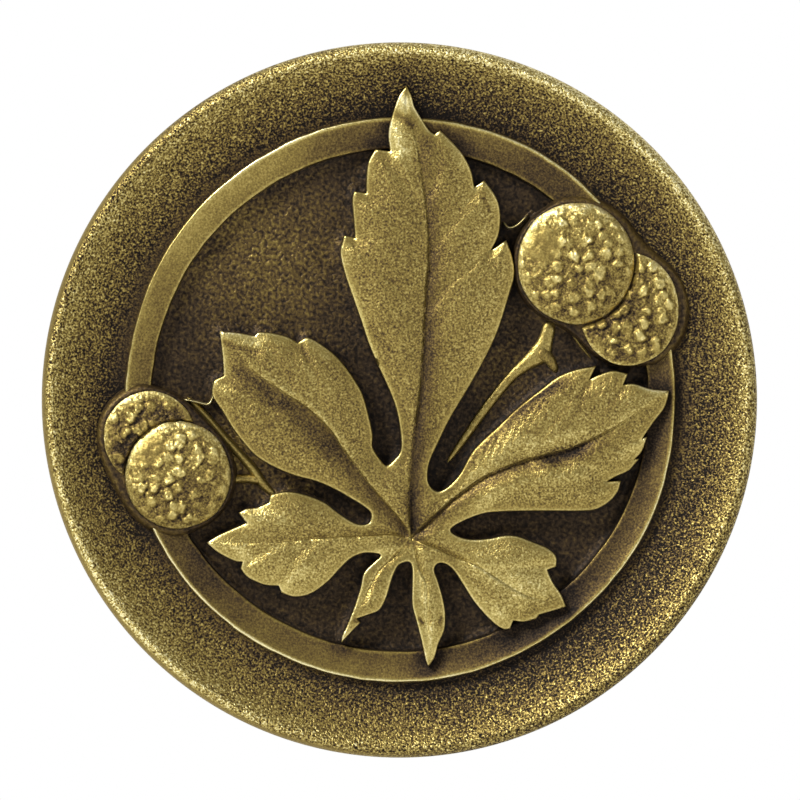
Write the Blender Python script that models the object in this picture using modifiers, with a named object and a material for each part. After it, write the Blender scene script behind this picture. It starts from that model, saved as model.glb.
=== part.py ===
"""Round mushroom knob, cast in one piece of brass for a cabinet door or a drawer.

The dished face carries a raised ring, a seven-lobed leaf, two pairs of studded seed balls and their
stalks. Behind it a trumpet stem runs to a round foot with a tapped hole. Metres, +Z up: the knob is
modelled face up and then turned on its side, as it hangs on a door, with its face towards -Y, the
leaf's long lobe up and the middle of the foot at the origin.
"""

from math import cos, pi, radians, sin, tan

import bmesh
import bpy
import numpy as np
from mathutils import Vector
from mathutils.geometry import delaunay_2d_cdt

# Overall sizes
HEAD_DIAMETER = 0.035
PROJECTION = 0.024

# Rim of the head, and the metal left under the sunk ground
FLOOR_THICKNESS = 0.0011
RIM_CREST_INSET = 0.0005
RIM_ROUNDING = 0.0007
RIM_LOWER_ROUNDING = 0.0010
RIM_ARC_POINTS = 4

# Dished border between the rim and the ring
BORDER_WIDTH = 0.00337
BORDER_DEPTH = 0.00135
BORDER_GROOVE_WIDTH = 0.00020
BORDER_BOW = 1.6
BORDER_POINTS = 5

# Raised ring and the sunk ground inside it
RING_WIDTH = 0.00137
RING_HEIGHT = 0.00095
RING_INWARD_FALL = 0.00030
RING_EDGE = 0.00008
GROUND_DEPTH = 0.00190
GROUND_COVE = 0.00015

# Stem and foot
NECK_DIAMETER = 0.0110
NECK_LENGTH = 0.0015
FOOT_DIAMETER = 0.0155
FOOT_THICKNESS = 0.0016
FOOT_EDGE = 0.0003
FOOT_FLARE = 0.0049
HEAD_FLARE_POINTS = 8
FOOT_FLARE_POINTS = 5

# Tapped hole for the machine screw: the drilled size, without its thread
SCREW_HOLE_DIAMETER = 0.00345
SCREW_HOLE_DEPTH = 0.0120
SCREW_HOLE_LEAD_IN = 0.0006
DRILL_POINT_HALF_ANGLE = radians(59)

TURNING_STEPS = 60
MERGE_DISTANCE = 0.000001

# Relief heights over the ground, and how deep each relief piece is rooted below it
LEAF_EDGE_OVER_RING = 0.00020
LEAF_CROWN = 0.00050
LEAF_CROWN_REACH = 0.0011
LEAF_TIP_DROP = 0.00012
LEAF_VEIN_DEPTH = 0.00030
LEAF_VEIN_WIDTH = 0.00085
LEAF_HUB_DEPTH = 0.00035
LEAF_HUB_REACH = 0.0016
LEAF_SHOULDER = 0.00030
LEAF_SHOULDER_CLEARANCE = 0.00024
LEAF_GRID = 0.00075
LEAF_GRID_CLEARANCE = 0.00060
CURVE_SPANS = 2
RELIEF_ROOT = 0.0004
BALL_HEIGHT = 0.00065
BALL_SEAT = 0.00005
BACK_BALL_DROP = 0.00020
BALL_STUD_HEIGHT = 0.00010
BALL_FINENESS = 4
STUD_MATCH = cos(radians(1))
PAD_MARGIN = 0.00015
PAD_OVER_RING = 0.00008
PAD_EDGE = 0.00045
PAD_STEPS = 40
STALK_RADIUS = 0.00026
STALK_HEIGHT = 0.00012
STALK_BEVEL_RESOLUTION = 2

# The relief is drawn over the photograph of the face: these two places set its scale, and every
# point below is one picked by eye on it, x to the right and y down.
PICTURE_CENTRE = (399, 401)
PICTURE_RING_RADIUS = 279

# Leaf outline, clockwise from the tip of the long lobe: each run is one smooth stretch, and the runs
# meet at the points and notches of the teeth.
LEAF_OUTLINE = [
    # Long upper lobe, right side
    [(406, 86), (411, 96), (414, 107), (421, 119), (428, 130), (434, 135)],
    [(434, 135), (440, 131)],
    [(440, 131), (453, 144), (463, 156), (471, 172), (474, 188)],
    [(474, 188), (484, 181)],
    [(484, 181), (496, 198), (500, 215), (498, 236), (490, 252)],
    [(490, 252), (506, 241)],
    # Hollow between the upper and the right lobe
    [(506, 241), (512, 258), (514, 275), (509, 295), (496, 335), (476, 375), (451, 417), (438, 443),
     (429, 463), (427, 478), (430, 488), (438, 493), (448, 488), (460, 475), (474, 451), (499, 427),
     (519, 408), (542, 390), (558, 378), (575, 371), (596, 367)],
    # Right lobe
    [(596, 367), (589, 381)],
    [(589, 381), (599, 376), (613, 372), (628, 375)],
    [(628, 375), (623, 386)],
    [(623, 386), (634, 385), (650, 390), (669, 392)],
    [(669, 392), (667, 402), (663, 411), (653, 424), (642, 440)],
    [(642, 440), (647, 438)],
    [(647, 438), (642, 452), (634, 461)],
    [(634, 461), (639, 460)],
    [(639, 460), (634, 466), (628, 472), (615, 478), (606, 483)],
    [(606, 483), (621, 482)],
    # Hollow between the right and the lower right lobe
    [(621, 482), (618, 492), (610, 502), (597, 510), (582, 512), (558, 512), (526, 512), (494, 513),
     (478, 516), (459, 524), (450, 531), (456, 537), (470, 541), (489, 540), (505, 537), (518, 538),
     (534, 544), (548, 550), (556, 558), (556, 568)],
    # Lower right lobe
    [(556, 568), (547, 571)],
    [(547, 571), (553, 584), (561, 596), (566, 608)],
    [(566, 608), (553, 612), (539, 616)],
    [(539, 616), (536, 620)],
    [(536, 620), (524, 623), (513, 622)],
    [(513, 622), (510, 630)],
    # Hollow between the lower right and the lower lobe
    [(510, 630), (502, 630), (489, 620), (474, 603), (462, 584), (454, 572), (447, 566), (440, 564),
     (435, 567), (434, 573), (438, 584), (443, 602), (445, 616), (444, 631), (438, 645), (434, 659),
     (428, 668)],
    # Hollow between the lower and the small lobe
    [(428, 668), (425, 660), (421, 641), (416, 622), (412, 606), (412, 586), (412, 570), (410, 564),
     (406, 563), (400, 565), (396, 569), (391, 581), (386, 598), (379, 611), (368, 616), (356, 620)],
    # Small lobe
    [(356, 620), (360, 624)],
    [(360, 624), (351, 633), (341, 644)],
    # Hollow between the small and the lower left lobe
    [(341, 644), (342, 637), (348, 624), (354, 608), (360, 590), (364, 574), (376, 562), (380, 558),
     (378, 555), (364, 554), (351, 559), (339, 570), (327, 583), (310, 595), (294, 598), (281, 594)],
    # Lower left lobe
    [(281, 594), (278, 587)],
    [(278, 587), (264, 586), (248, 579), (240, 570)],
    [(240, 570), (242, 563)],
    [(242, 563), (234, 562), (218, 554), (206, 544)],
    [(206, 544), (217, 537), (230, 531), (246, 524)],
    [(246, 524), (238, 514)],
    [(238, 514), (246, 510), (256, 509), (268, 504)],
    [(268, 504), (270, 496)],
    # Hollow between the lower left and the left lobe
    [(270, 496), (286, 493), (304, 496), (324, 504), (337, 514), (351, 523), (359, 526), (368, 525),
     (371, 519), (370, 513), (363, 507), (350, 499), (334, 490), (315, 482), (296, 477), (276, 469),
     (257, 458), (245, 446), (232, 429), (222, 412), (212, 397), (212, 387), (214, 381)],
    # Left lobe
    [(214, 381), (223, 377)],
    [(223, 377), (222, 358), (219, 332)],
    [(219, 332), (238, 334), (254, 337)],
    [(254, 337), (258, 333)],
    [(258, 333), (271, 334), (287, 338), (297, 344)],
    [(297, 344), (306, 338)],
    # Hollow between the left and the upper lobe
    [(306, 338), (315, 342), (328, 351), (339, 361), (350, 375), (361, 393), (367, 412), (372, 435),
     (372, 448), (379, 460), (386, 467), (394, 461), (400, 453), (401, 440), (397, 414), (389, 391),
     (371, 351), (359, 316), (346, 279), (340, 255), (342, 243), (344, 236)],
    # Long upper lobe, left side
    [(344, 236), (355, 239)],
    [(355, 239), (353, 215), (352, 200), (354, 192)],
    [(354, 192), (366, 194)],
    [(366, 194), (366, 180), (368, 163), (375, 150)],
    [(375, 150), (390, 152)],
    [(390, 152), (388, 135), (391, 119), (398, 98), (406, 86)],
]

# Main veins, each from the hub to the tip of its lobe
LEAF_HUB = (411, 539)
LEAF_VEINS = [
    [LEAF_HUB, (410, 500), (414, 440), (420, 395), (424, 347), (426, 300), (429, 260), (428, 225),
     (424, 189), (418, 150), (410, 115), (406, 86)],
    [LEAF_HUB, (430, 521), (454, 500), (486, 478), (526, 462), (566, 452), (597, 438), (621, 425),
     (645, 409), (669, 392)],
    [LEAF_HUB, (432, 547), (454, 557), (474, 565), (489, 574), (521, 594), (545, 602), (566, 608)],
    [LEAF_HUB, (419, 568), (426, 584), (427, 605), (427, 640), (428, 668)],
    [LEAF_HUB, (400, 552), (389, 562), (378, 573), (371, 586), (362, 603), (351, 622), (341, 644)],
    [LEAF_HUB, (391, 535), (364, 536), (324, 538), (284, 542), (250, 544), (206, 544)],
    [LEAF_HUB, (398, 520), (381, 501), (366, 483), (340, 448), (328, 430), (308, 411), (283, 394),
     (257, 376), (238, 356), (219, 332)],
]

# Seed balls: name, centre and radius, and whether the ball lies behind its neighbour
SEED_BALLS = [
    ("right_front_ball", (575, 264), 59, False),
    ("right_back_ball", (629, 313), 52, True),
    ("left_front_ball", (178, 476), 52, False),
    ("left_back_ball", (149, 437), 46, True),
]

# Stalks: name and route
STALKS = [
    ("right_stalk", [(447, 464), (462, 443), (486, 409), (510, 379), (526, 366), (542, 356), (550, 325)]),
    ("right_stalk_spur", [(542, 356), (555, 372)]),
    ("left_stalk", [(273, 499), (251, 469), (225, 440), (205, 417), (190, 402)]),
    ("left_stalk_spur", [(255, 481), (228, 481)]),
]

# Worked out from the sizes above
HEAD_RADIUS = HEAD_DIAMETER / 2
NECK_RADIUS = NECK_DIAMETER / 2
FOOT_RADIUS = FOOT_DIAMETER / 2
HOLE_RADIUS = SCREW_HOLE_DIAMETER / 2
CREST_RADIUS = HEAD_RADIUS - RIM_CREST_INSET
RIM_THICKNESS = GROUND_DEPTH + FLOOR_THICKNESS
RING_OUTER_RADIUS = CREST_RADIUS - BORDER_WIDTH
RING_INNER_RADIUS = RING_OUTER_RADIUS - RING_WIDTH
GROUND_LEVEL = PROJECTION - GROUND_DEPTH
RING_LEVEL = GROUND_LEVEL + RING_HEIGHT
LEAF_EDGE_LEVEL = RING_LEVEL + LEAF_EDGE_OVER_RING
PAD_LEVEL = RING_LEVEL + PAD_OVER_RING
RELIEF_BOTTOM = GROUND_LEVEL - RELIEF_ROOT
PICTURE_SCALE = RING_OUTER_RADIUS / PICTURE_RING_RADIUS

BRASS_COLOUR = (0.45, 0.36, 0.17, 1.0)
BRASS_ROUGHNESS = 0.38


def clear_scene():
    """Empty the scene of whatever it holds."""
    for obj in list(bpy.data.objects):
        bpy.data.objects.remove(obj, do_unlink=True)


def new_collection(name):
    """A new collection in the scene."""
    collection = bpy.data.collections.new(name)
    bpy.context.scene.collection.children.link(collection)
    return collection


def antique_brass():
    """Darkened brass, rubbed bright where it is handled."""
    material = bpy.data.materials.new("antique_brass")
    material.use_nodes = True
    shader = material.node_tree.nodes["Principled BSDF"]
    shader.inputs["Base Color"].default_value = BRASS_COLOUR
    shader.inputs["Roughness"].default_value = BRASS_ROUGHNESS
    shader.inputs["Metallic"].default_value = 1.0
    return material


def new_object(name, mesh, collection, parent):
    """An object for the mesh, in the collection and turned with the parent."""
    obj = bpy.data.objects.new(name, mesh)
    obj.parent = parent
    collection.objects.link(obj)
    return obj


def mesh_from(name, bm):
    """A mesh with the bmesh's faces, all facing outwards."""
    bmesh.ops.recalc_face_normals(bm, faces=bm.faces)
    mesh = bpy.data.meshes.new(name)
    bm.to_mesh(mesh)
    bm.free()
    return mesh


def on_face(point):
    """Place on the knob's face, in metres from its axis, of a point picked on the picture."""
    return (
        (point[0] - PICTURE_CENTRE[0]) * PICTURE_SCALE,
        (PICTURE_CENTRE[1] - point[1]) * PICTURE_SCALE,
    )


def smooth_run(points, spans):
    """A smooth curve through the points, with so many spans between each two, without its last point."""
    knots = [Vector(on_face(point)) for point in points]
    ends = [2 * knots[0] - knots[1], *knots, 2 * knots[-1] - knots[-2]]
    curve = []
    for before, start, stop, after in zip(ends, ends[1:], ends[2:], ends[3:]):
        for step in range(spans):
            t = step / spans
            bend = (2 * before - 5 * start + 4 * stop - after) * t**2
            turn = (3 * start - before - 3 * stop + after) * t**3
            curve.append((2 * start + (stop - before) * t + bend + turn) / 2)
    return curve


def quarter_flare(outer, inner, steps):
    """Points along a hollow quarter ellipse, from the wide end to the narrow end, each (radius, height)."""
    reach = outer[0] - inner[0]
    rise = outer[1] - inner[1]
    angles = [pi / 2 * (1 - step / steps) for step in range(steps + 1)]
    return [(outer[0] - reach * cos(angle), inner[1] + rise * sin(angle)) for angle in angles]


def face_profile():
    """(radius, height) from the middle of the ground out to the crest of the rim."""
    groove_level = PROJECTION - BORDER_DEPTH
    ring_inner_level = RING_LEVEL - RING_INWARD_FALL
    points = [
        (0.0, GROUND_LEVEL),
        (RING_INNER_RADIUS - GROUND_COVE, GROUND_LEVEL),
        (RING_INNER_RADIUS, GROUND_LEVEL + GROUND_COVE),
        (RING_INNER_RADIUS, ring_inner_level - RING_EDGE),
        (RING_INNER_RADIUS + RING_EDGE, ring_inner_level),
        (RING_OUTER_RADIUS - RING_EDGE, RING_LEVEL),
        (RING_OUTER_RADIUS, RING_LEVEL - RING_EDGE),
        (RING_OUTER_RADIUS + RING_EDGE, groove_level),
    ]
    border_start = RING_OUTER_RADIUS + RING_EDGE + BORDER_GROOVE_WIDTH
    for step in range(BORDER_POINTS):
        share = step / BORDER_POINTS
        radius = border_start + (CREST_RADIUS - border_start) * share
        points.append((radius, groove_level + BORDER_DEPTH * share**BORDER_BOW))
    return points


def rim_profile():
    """(radius, height) over the rolled rim and round its lower edge."""
    points = []
    for step in range(RIM_ARC_POINTS + 1):
        angle = pi / 2 * (1 - step / RIM_ARC_POINTS)
        radius = CREST_RADIUS + RIM_CREST_INSET * cos(angle)
        points.append((radius, PROJECTION - RIM_ROUNDING * (1 - sin(angle))))
    underside = PROJECTION - RIM_THICKNESS
    for step in range(RIM_ARC_POINTS):
        angle = pi / 2 * step / RIM_ARC_POINTS
        radius = HEAD_RADIUS - RIM_LOWER_ROUNDING * (1 - cos(angle))
        points.append((radius, underside + RIM_LOWER_ROUNDING * (1 - sin(angle))))
    return points


def stem_profile():
    """(radius, height) down the underside of the head, the neck and the foot."""
    rim_end = (HEAD_RADIUS - RIM_LOWER_ROUNDING, PROJECTION - RIM_THICKNESS)
    neck_bottom = FOOT_THICKNESS + FOOT_FLARE
    foot_top = (FOOT_RADIUS - FOOT_EDGE, FOOT_THICKNESS)
    head_flare = quarter_flare(rim_end, (NECK_RADIUS, neck_bottom + NECK_LENGTH), HEAD_FLARE_POINTS)
    foot_flare = quarter_flare(foot_top, (NECK_RADIUS, neck_bottom), FOOT_FLARE_POINTS)
    foot_edge = [
        (FOOT_RADIUS, FOOT_THICKNESS - FOOT_EDGE),
        (FOOT_RADIUS, FOOT_EDGE),
        (FOOT_RADIUS - FOOT_EDGE, 0.0),
    ]
    return head_flare + foot_flare[::-1] + foot_edge


def hole_profile():
    """(radius, height) from the mouth of the screw hole to the end of its drill point."""
    return [
        (HOLE_RADIUS + SCREW_HOLE_LEAD_IN, 0.0),
        (HOLE_RADIUS, SCREW_HOLE_LEAD_IN),
        (HOLE_RADIUS, SCREW_HOLE_DEPTH),
        (0.0, SCREW_HOLE_DEPTH + HOLE_RADIUS / tan(DRILL_POINT_HALF_ANGLE)),
    ]


def turned_body(collection, parent):
    """The head, stem, foot and screw hole as one turned shape, face up."""
    profile = face_profile() + rim_profile() + stem_profile() + hole_profile()
    bm = bmesh.new()
    corners = [bm.verts.new((radius, 0.0, height)) for radius, height in profile]
    for start, stop in zip(corners, corners[1:]):
        bm.edges.new((start, stop))
    mesh = bpy.data.meshes.new("knob")
    bm.to_mesh(mesh)
    bm.free()
    body = new_object("knob", mesh, collection, parent)
    screw = body.modifiers.new("turning", "SCREW")
    screw.axis = "Z"
    screw.angle = 2 * pi
    screw.steps = TURNING_STEPS
    screw.render_steps = TURNING_STEPS
    screw.use_merge_vertices = True
    screw.merge_threshold = MERGE_DISTANCE
    return body


def distance_to_lines(points, starts, stops):
    """Distance from each point to the nearest of the straight lines, all flat on the face."""
    along = stops - starts
    offset = points[:, None] - starts[None]
    share = (offset * along).sum(axis=2) / (along**2).sum(axis=1)
    nearest = offset - np.clip(share, 0, 1)[..., None] * along
    return np.sqrt((nearest**2).sum(axis=2)).min(axis=1)


def inside_outline(points, outline):
    """True for each point that lies inside the closed outline."""
    starts = outline[None]
    stops = np.roll(outline, -1, axis=0)[None]
    x, y = points[:, None, 0], points[:, None, 1]
    straddles = (starts[..., 1] > y) != (stops[..., 1] > y)
    rise = np.where(straddles, stops[..., 1] - starts[..., 1], 1.0)
    crossing = starts[..., 0] + (y - starts[..., 1]) * (stops[..., 0] - starts[..., 0]) / rise
    return (straddles & (crossing > x)).sum(axis=1) % 2 == 1


def leaf_height(points, outline, veins):
    """Height of the leaf's upper side: crowned lobes, sunk veins, a sunk hub and lower edges."""
    edge = distance_to_lines(points, outline, np.roll(outline, -1, axis=0))
    vein = distance_to_lines(points, *veins)
    hub = np.linalg.norm(points - np.array(on_face(LEAF_HUB)), axis=1)
    radius = np.linalg.norm(points, axis=1)
    rounded = np.clip(edge / LEAF_CROWN_REACH, 0, 1)
    crown = LEAF_CROWN * np.sqrt(rounded * (2 - rounded))
    groove = LEAF_VEIN_DEPTH * np.exp(-((vein / LEAF_VEIN_WIDTH) ** 2)) * rounded
    hollow = LEAF_HUB_DEPTH * np.exp(-((hub / LEAF_HUB_REACH) ** 2))
    drop = LEAF_TIP_DROP * np.clip(radius / RING_INNER_RADIUS, 0, 1) ** 2
    return LEAF_EDGE_LEVEL + crown - groove - hollow - drop * rounded


def even_rows(low, high):
    """Staggered rows of points at the leaf's grid spacing, over the box from low to high."""
    across = np.arange(low[0], high[0], LEAF_GRID)
    up = np.arange(low[1], high[1], LEAF_GRID * sin(pi / 3))
    stagger = LEAF_GRID / 2 * (np.arange(len(up)) % 2)
    return np.column_stack([(across + stagger[:, None]).ravel(), np.repeat(up, len(across))])


def inner_points(outline, veins):
    """Points over the leaf: a row along its shoulder and even rows clear of its edge and its veins."""
    outline_lines = (outline, np.roll(outline, -1, axis=0))
    run = np.roll(outline, -1, axis=0) - np.roll(outline, 1, axis=0)
    inward = np.column_stack([run[:, 1], -run[:, 0]]) / np.linalg.norm(run, axis=1)[:, None]
    shoulder = outline + LEAF_SHOULDER * inward
    shoulder = shoulder[distance_to_lines(shoulder, *outline_lines) > LEAF_SHOULDER_CLEARANCE]
    rows = even_rows(outline.min(axis=0), outline.max(axis=0))
    rows = rows[distance_to_lines(rows, *outline_lines) > LEAF_GRID_CLEARANCE]
    points = np.vstack([shoulder, rows])
    points = points[distance_to_lines(points, *veins) > LEAF_GRID / 2]
    return points[inside_outline(points, outline)]


def leaf_surface(outline, veins):
    """Flat triangles over the leaf, with edges along its outline and its veins: (points, faces)."""
    points = list(outline)
    lines = [(index, (index + 1) % len(outline)) for index in range(len(outline))]
    for route in veins:
        lines += [(len(points) + step, len(points) + step + 1) for step in range(len(route) - 1)]
        points += list(route)
    routes = (np.vstack([r[:-1] for r in veins]), np.vstack([r[1:] for r in veins]))
    points += list(inner_points(outline, routes))
    flat = [Vector(point) for point in points]
    spots, _, faces, *_ = delaunay_2d_cdt(flat, lines, [], 0, MERGE_DISTANCE, False)
    places = np.array(spots)
    faces = np.array(faces)
    faces = faces[inside_outline(places[faces].mean(axis=1), outline)]
    return places, leaf_height(places, outline, routes), faces


def leaf(collection, parent):
    """The toothed leaf, with a crowned and veined upper side and straight walls to below the ground."""
    outline = np.array([point for run in LEAF_OUTLINE for point in smooth_run(run, CURVE_SPANS)])
    veins = [np.array([on_face(point) for point in vein]) for vein in LEAF_VEINS]
    places, heights, faces = leaf_surface(outline, veins)
    bm = bmesh.new()
    corners = [bm.verts.new((x, y, height)) for (x, y), height in zip(places, heights)]
    for face in faces:
        bm.faces.new([corners[index] for index in face])
    rim = [edge for edge in bm.edges if edge.is_boundary]
    walls = bmesh.ops.extrude_edge_only(bm, edges=rim)["geom"]
    for corner in [item for item in walls if isinstance(item, bmesh.types.BMVert)]:
        corner.co.z = RELIEF_BOTTOM
    bmesh.ops.holes_fill(bm, edges=[edge for edge in bm.edges if edge.is_boundary])
    return new_object("leaf", mesh_from("leaf", bm), collection, parent)


def pad(name, centre, radius, collection, parent):
    """The plain round pad that a seed ball sits on, with a sloping edge."""
    bm = bmesh.new()
    bmesh.ops.create_cone(
        bm,
        cap_ends=True,
        segments=PAD_STEPS,
        radius1=radius + PAD_EDGE,
        radius2=radius,
        depth=PAD_LEVEL - RELIEF_BOTTOM,
    )
    obj = new_object(name, mesh_from(name, bm), collection, parent)
    obj.location = (*on_face(centre), (PAD_LEVEL + RELIEF_BOTTOM) / 2)
    return obj


def seed_ball(name, centre, radius, behind, collection, parent):
    """A flattened ball, half sunk in its pad, with a stud at every corner of the next coarser ball."""
    coarse = bmesh.new()
    bmesh.ops.create_icosphere(coarse, subdivisions=BALL_FINENESS - 1, radius=1.0)
    studs = np.array([corner.co.normalized() for corner in coarse.verts])
    coarse.free()

    height = BALL_HEIGHT - (BACK_BALL_DROP if behind else 0.0)
    root = PAD_LEVEL + BALL_SEAT - RELIEF_BOTTOM
    bm = bmesh.new()
    bmesh.ops.create_icosphere(bm, subdivisions=BALL_FINENESS, radius=1.0)
    for corner in bm.verts:
        direction = corner.co.normalized()
        is_stud = (studs @ np.array(direction)).max() > STUD_MATCH
        out = BALL_STUD_HEIGHT if is_stud else 0.0
        depth = height + out if direction.z > 0 else root
        corner.co = (direction.x * (radius + out), direction.y * (radius + out), direction.z * depth)
    obj = new_object(name, mesh_from(name, bm), collection, parent)
    obj.location = (*on_face(centre), PAD_LEVEL + BALL_SEAT)
    return obj


def stalk(name, route, collection, parent):
    """A thin round stalk lying on the ground, as a mesh."""
    curve = bpy.data.curves.new(name, "CURVE")
    curve.dimensions = "3D"
    curve.bevel_depth = STALK_RADIUS
    curve.bevel_resolution = STALK_BEVEL_RESOLUTION
    curve.use_fill_caps = True
    line = smooth_run(route, CURVE_SPANS) + [Vector(on_face(route[-1]))]
    spline = curve.splines.new("POLY")
    spline.points.add(len(line) - 1)
    for spot, place in zip(spline.points, line):
        spot.co = (place.x, place.y, GROUND_LEVEL + STALK_HEIGHT, 1.0)
    drawn = new_object(name, curve, collection, parent)
    bpy.context.view_layer.update()
    graph = bpy.context.evaluated_depsgraph_get()
    bm = bmesh.new()
    bm.from_mesh(bpy.data.meshes.new_from_object(drawn.evaluated_get(graph)))
    bmesh.ops.remove_doubles(bm, verts=bm.verts, dist=MERGE_DISTANCE)
    bpy.data.objects.remove(drawn, do_unlink=True)
    return new_object(name, mesh_from(name, bm), collection, parent)


def relief_pieces(collection, parent):
    """The leaf, the pads, the seed balls and the stalks, standing up from the face."""
    leaf(collection, parent)
    for name, centre, size, behind in SEED_BALLS:
        radius = size * PICTURE_SCALE
        pad(name + "_pad", centre, radius + PAD_MARGIN, collection, parent)
        seed_ball(name, centre, radius, behind, collection, parent)
    for name, route in STALKS:
        stalk(name, route, collection, parent)


def main():
    clear_scene()
    parts = new_collection("mushroom_knob")
    joined = new_collection("relief_joined_to_the_knob")
    axis = bpy.data.objects.new("screw_axis", None)
    axis.rotation_euler = (pi / 2, 0.0, 0.0)
    parts.objects.link(axis)

    knob = turned_body(parts, axis)
    knob.data.materials.append(antique_brass())
    relief_pieces(joined, axis)
    for piece in joined.objects:
        piece.hide_render = True
        piece.display_type = "WIRE"
    casting = knob.modifiers.new("relief", "BOOLEAN")
    casting.operation = "UNION"
    casting.operand_type = "COLLECTION"
    casting.collection = joined
    casting.solver = "EXACT"


main()
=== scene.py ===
"""Dressed mushroom knob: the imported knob's head, stem and relief as fine surfaces in antique brass.

The knob is described face up, as places across and up its face and a height over its foot, all in
metres. The face looks towards -Y, so a place stands at x = across, y = -height, z = up.
"""

import logging
from dataclasses import dataclass
from enum import Enum
from math import pi, radians, sin, tan
from typing import ClassVar, Sequence

import bpy
import numpy as np
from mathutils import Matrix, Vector
from mathutils.geometry import delaunay_2d_cdt


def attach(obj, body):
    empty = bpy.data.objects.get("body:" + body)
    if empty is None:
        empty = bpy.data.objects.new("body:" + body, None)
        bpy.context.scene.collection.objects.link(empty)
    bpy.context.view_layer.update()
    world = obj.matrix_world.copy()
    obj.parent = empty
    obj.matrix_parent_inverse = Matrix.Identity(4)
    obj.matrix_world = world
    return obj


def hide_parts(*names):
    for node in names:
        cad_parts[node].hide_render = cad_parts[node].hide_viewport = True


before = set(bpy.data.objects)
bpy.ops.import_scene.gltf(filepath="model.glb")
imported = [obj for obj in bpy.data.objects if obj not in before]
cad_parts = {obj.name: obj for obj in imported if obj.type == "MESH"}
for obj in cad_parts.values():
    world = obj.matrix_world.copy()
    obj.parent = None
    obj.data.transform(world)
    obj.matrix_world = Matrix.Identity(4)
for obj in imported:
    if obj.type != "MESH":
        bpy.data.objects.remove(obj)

LOG = logging.getLogger("mushroom_knob")

Array = np.ndarray
Point = tuple[float, float]
Colour = tuple[float, float, float]

BODY = "root"
NODE = "knob"

# Levels and radii that the pieces share
HEAD_RADIUS = 0.0175
PROJECTION = 0.024
CREST_RADIUS = 0.0170
RIM_THICKNESS = 0.0030
RING_OUTER_RADIUS = 0.01363
RING_INNER_RADIUS = 0.01226
GROUND_LEVEL = 0.0221
GROOVE_LEVEL = 0.02265
RING_LEVEL = 0.02305
LEAF_EDGE_LEVEL = 0.02325
PAD_LEVEL = 0.02313
RELIEF_BOTTOM = 0.0217

# Where the key light comes from, across and up the face; the leaf's edges are painted brighter on that side
LIGHT_FROM = (-0.8, 0.6)

# How many distances, point to line, are worked out at once, and the sides of the tables of random numbers
BLOCK_SIZE = 6_000_000
WAVE_TABLE = 256
STUD_TABLE = 64

# The relief is drawn over the photograph of the face, x to the right and y down
PICTURE_CENTRE = (399, 401)
PICTURE_SCALE = RING_OUTER_RADIUS / 279

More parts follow.
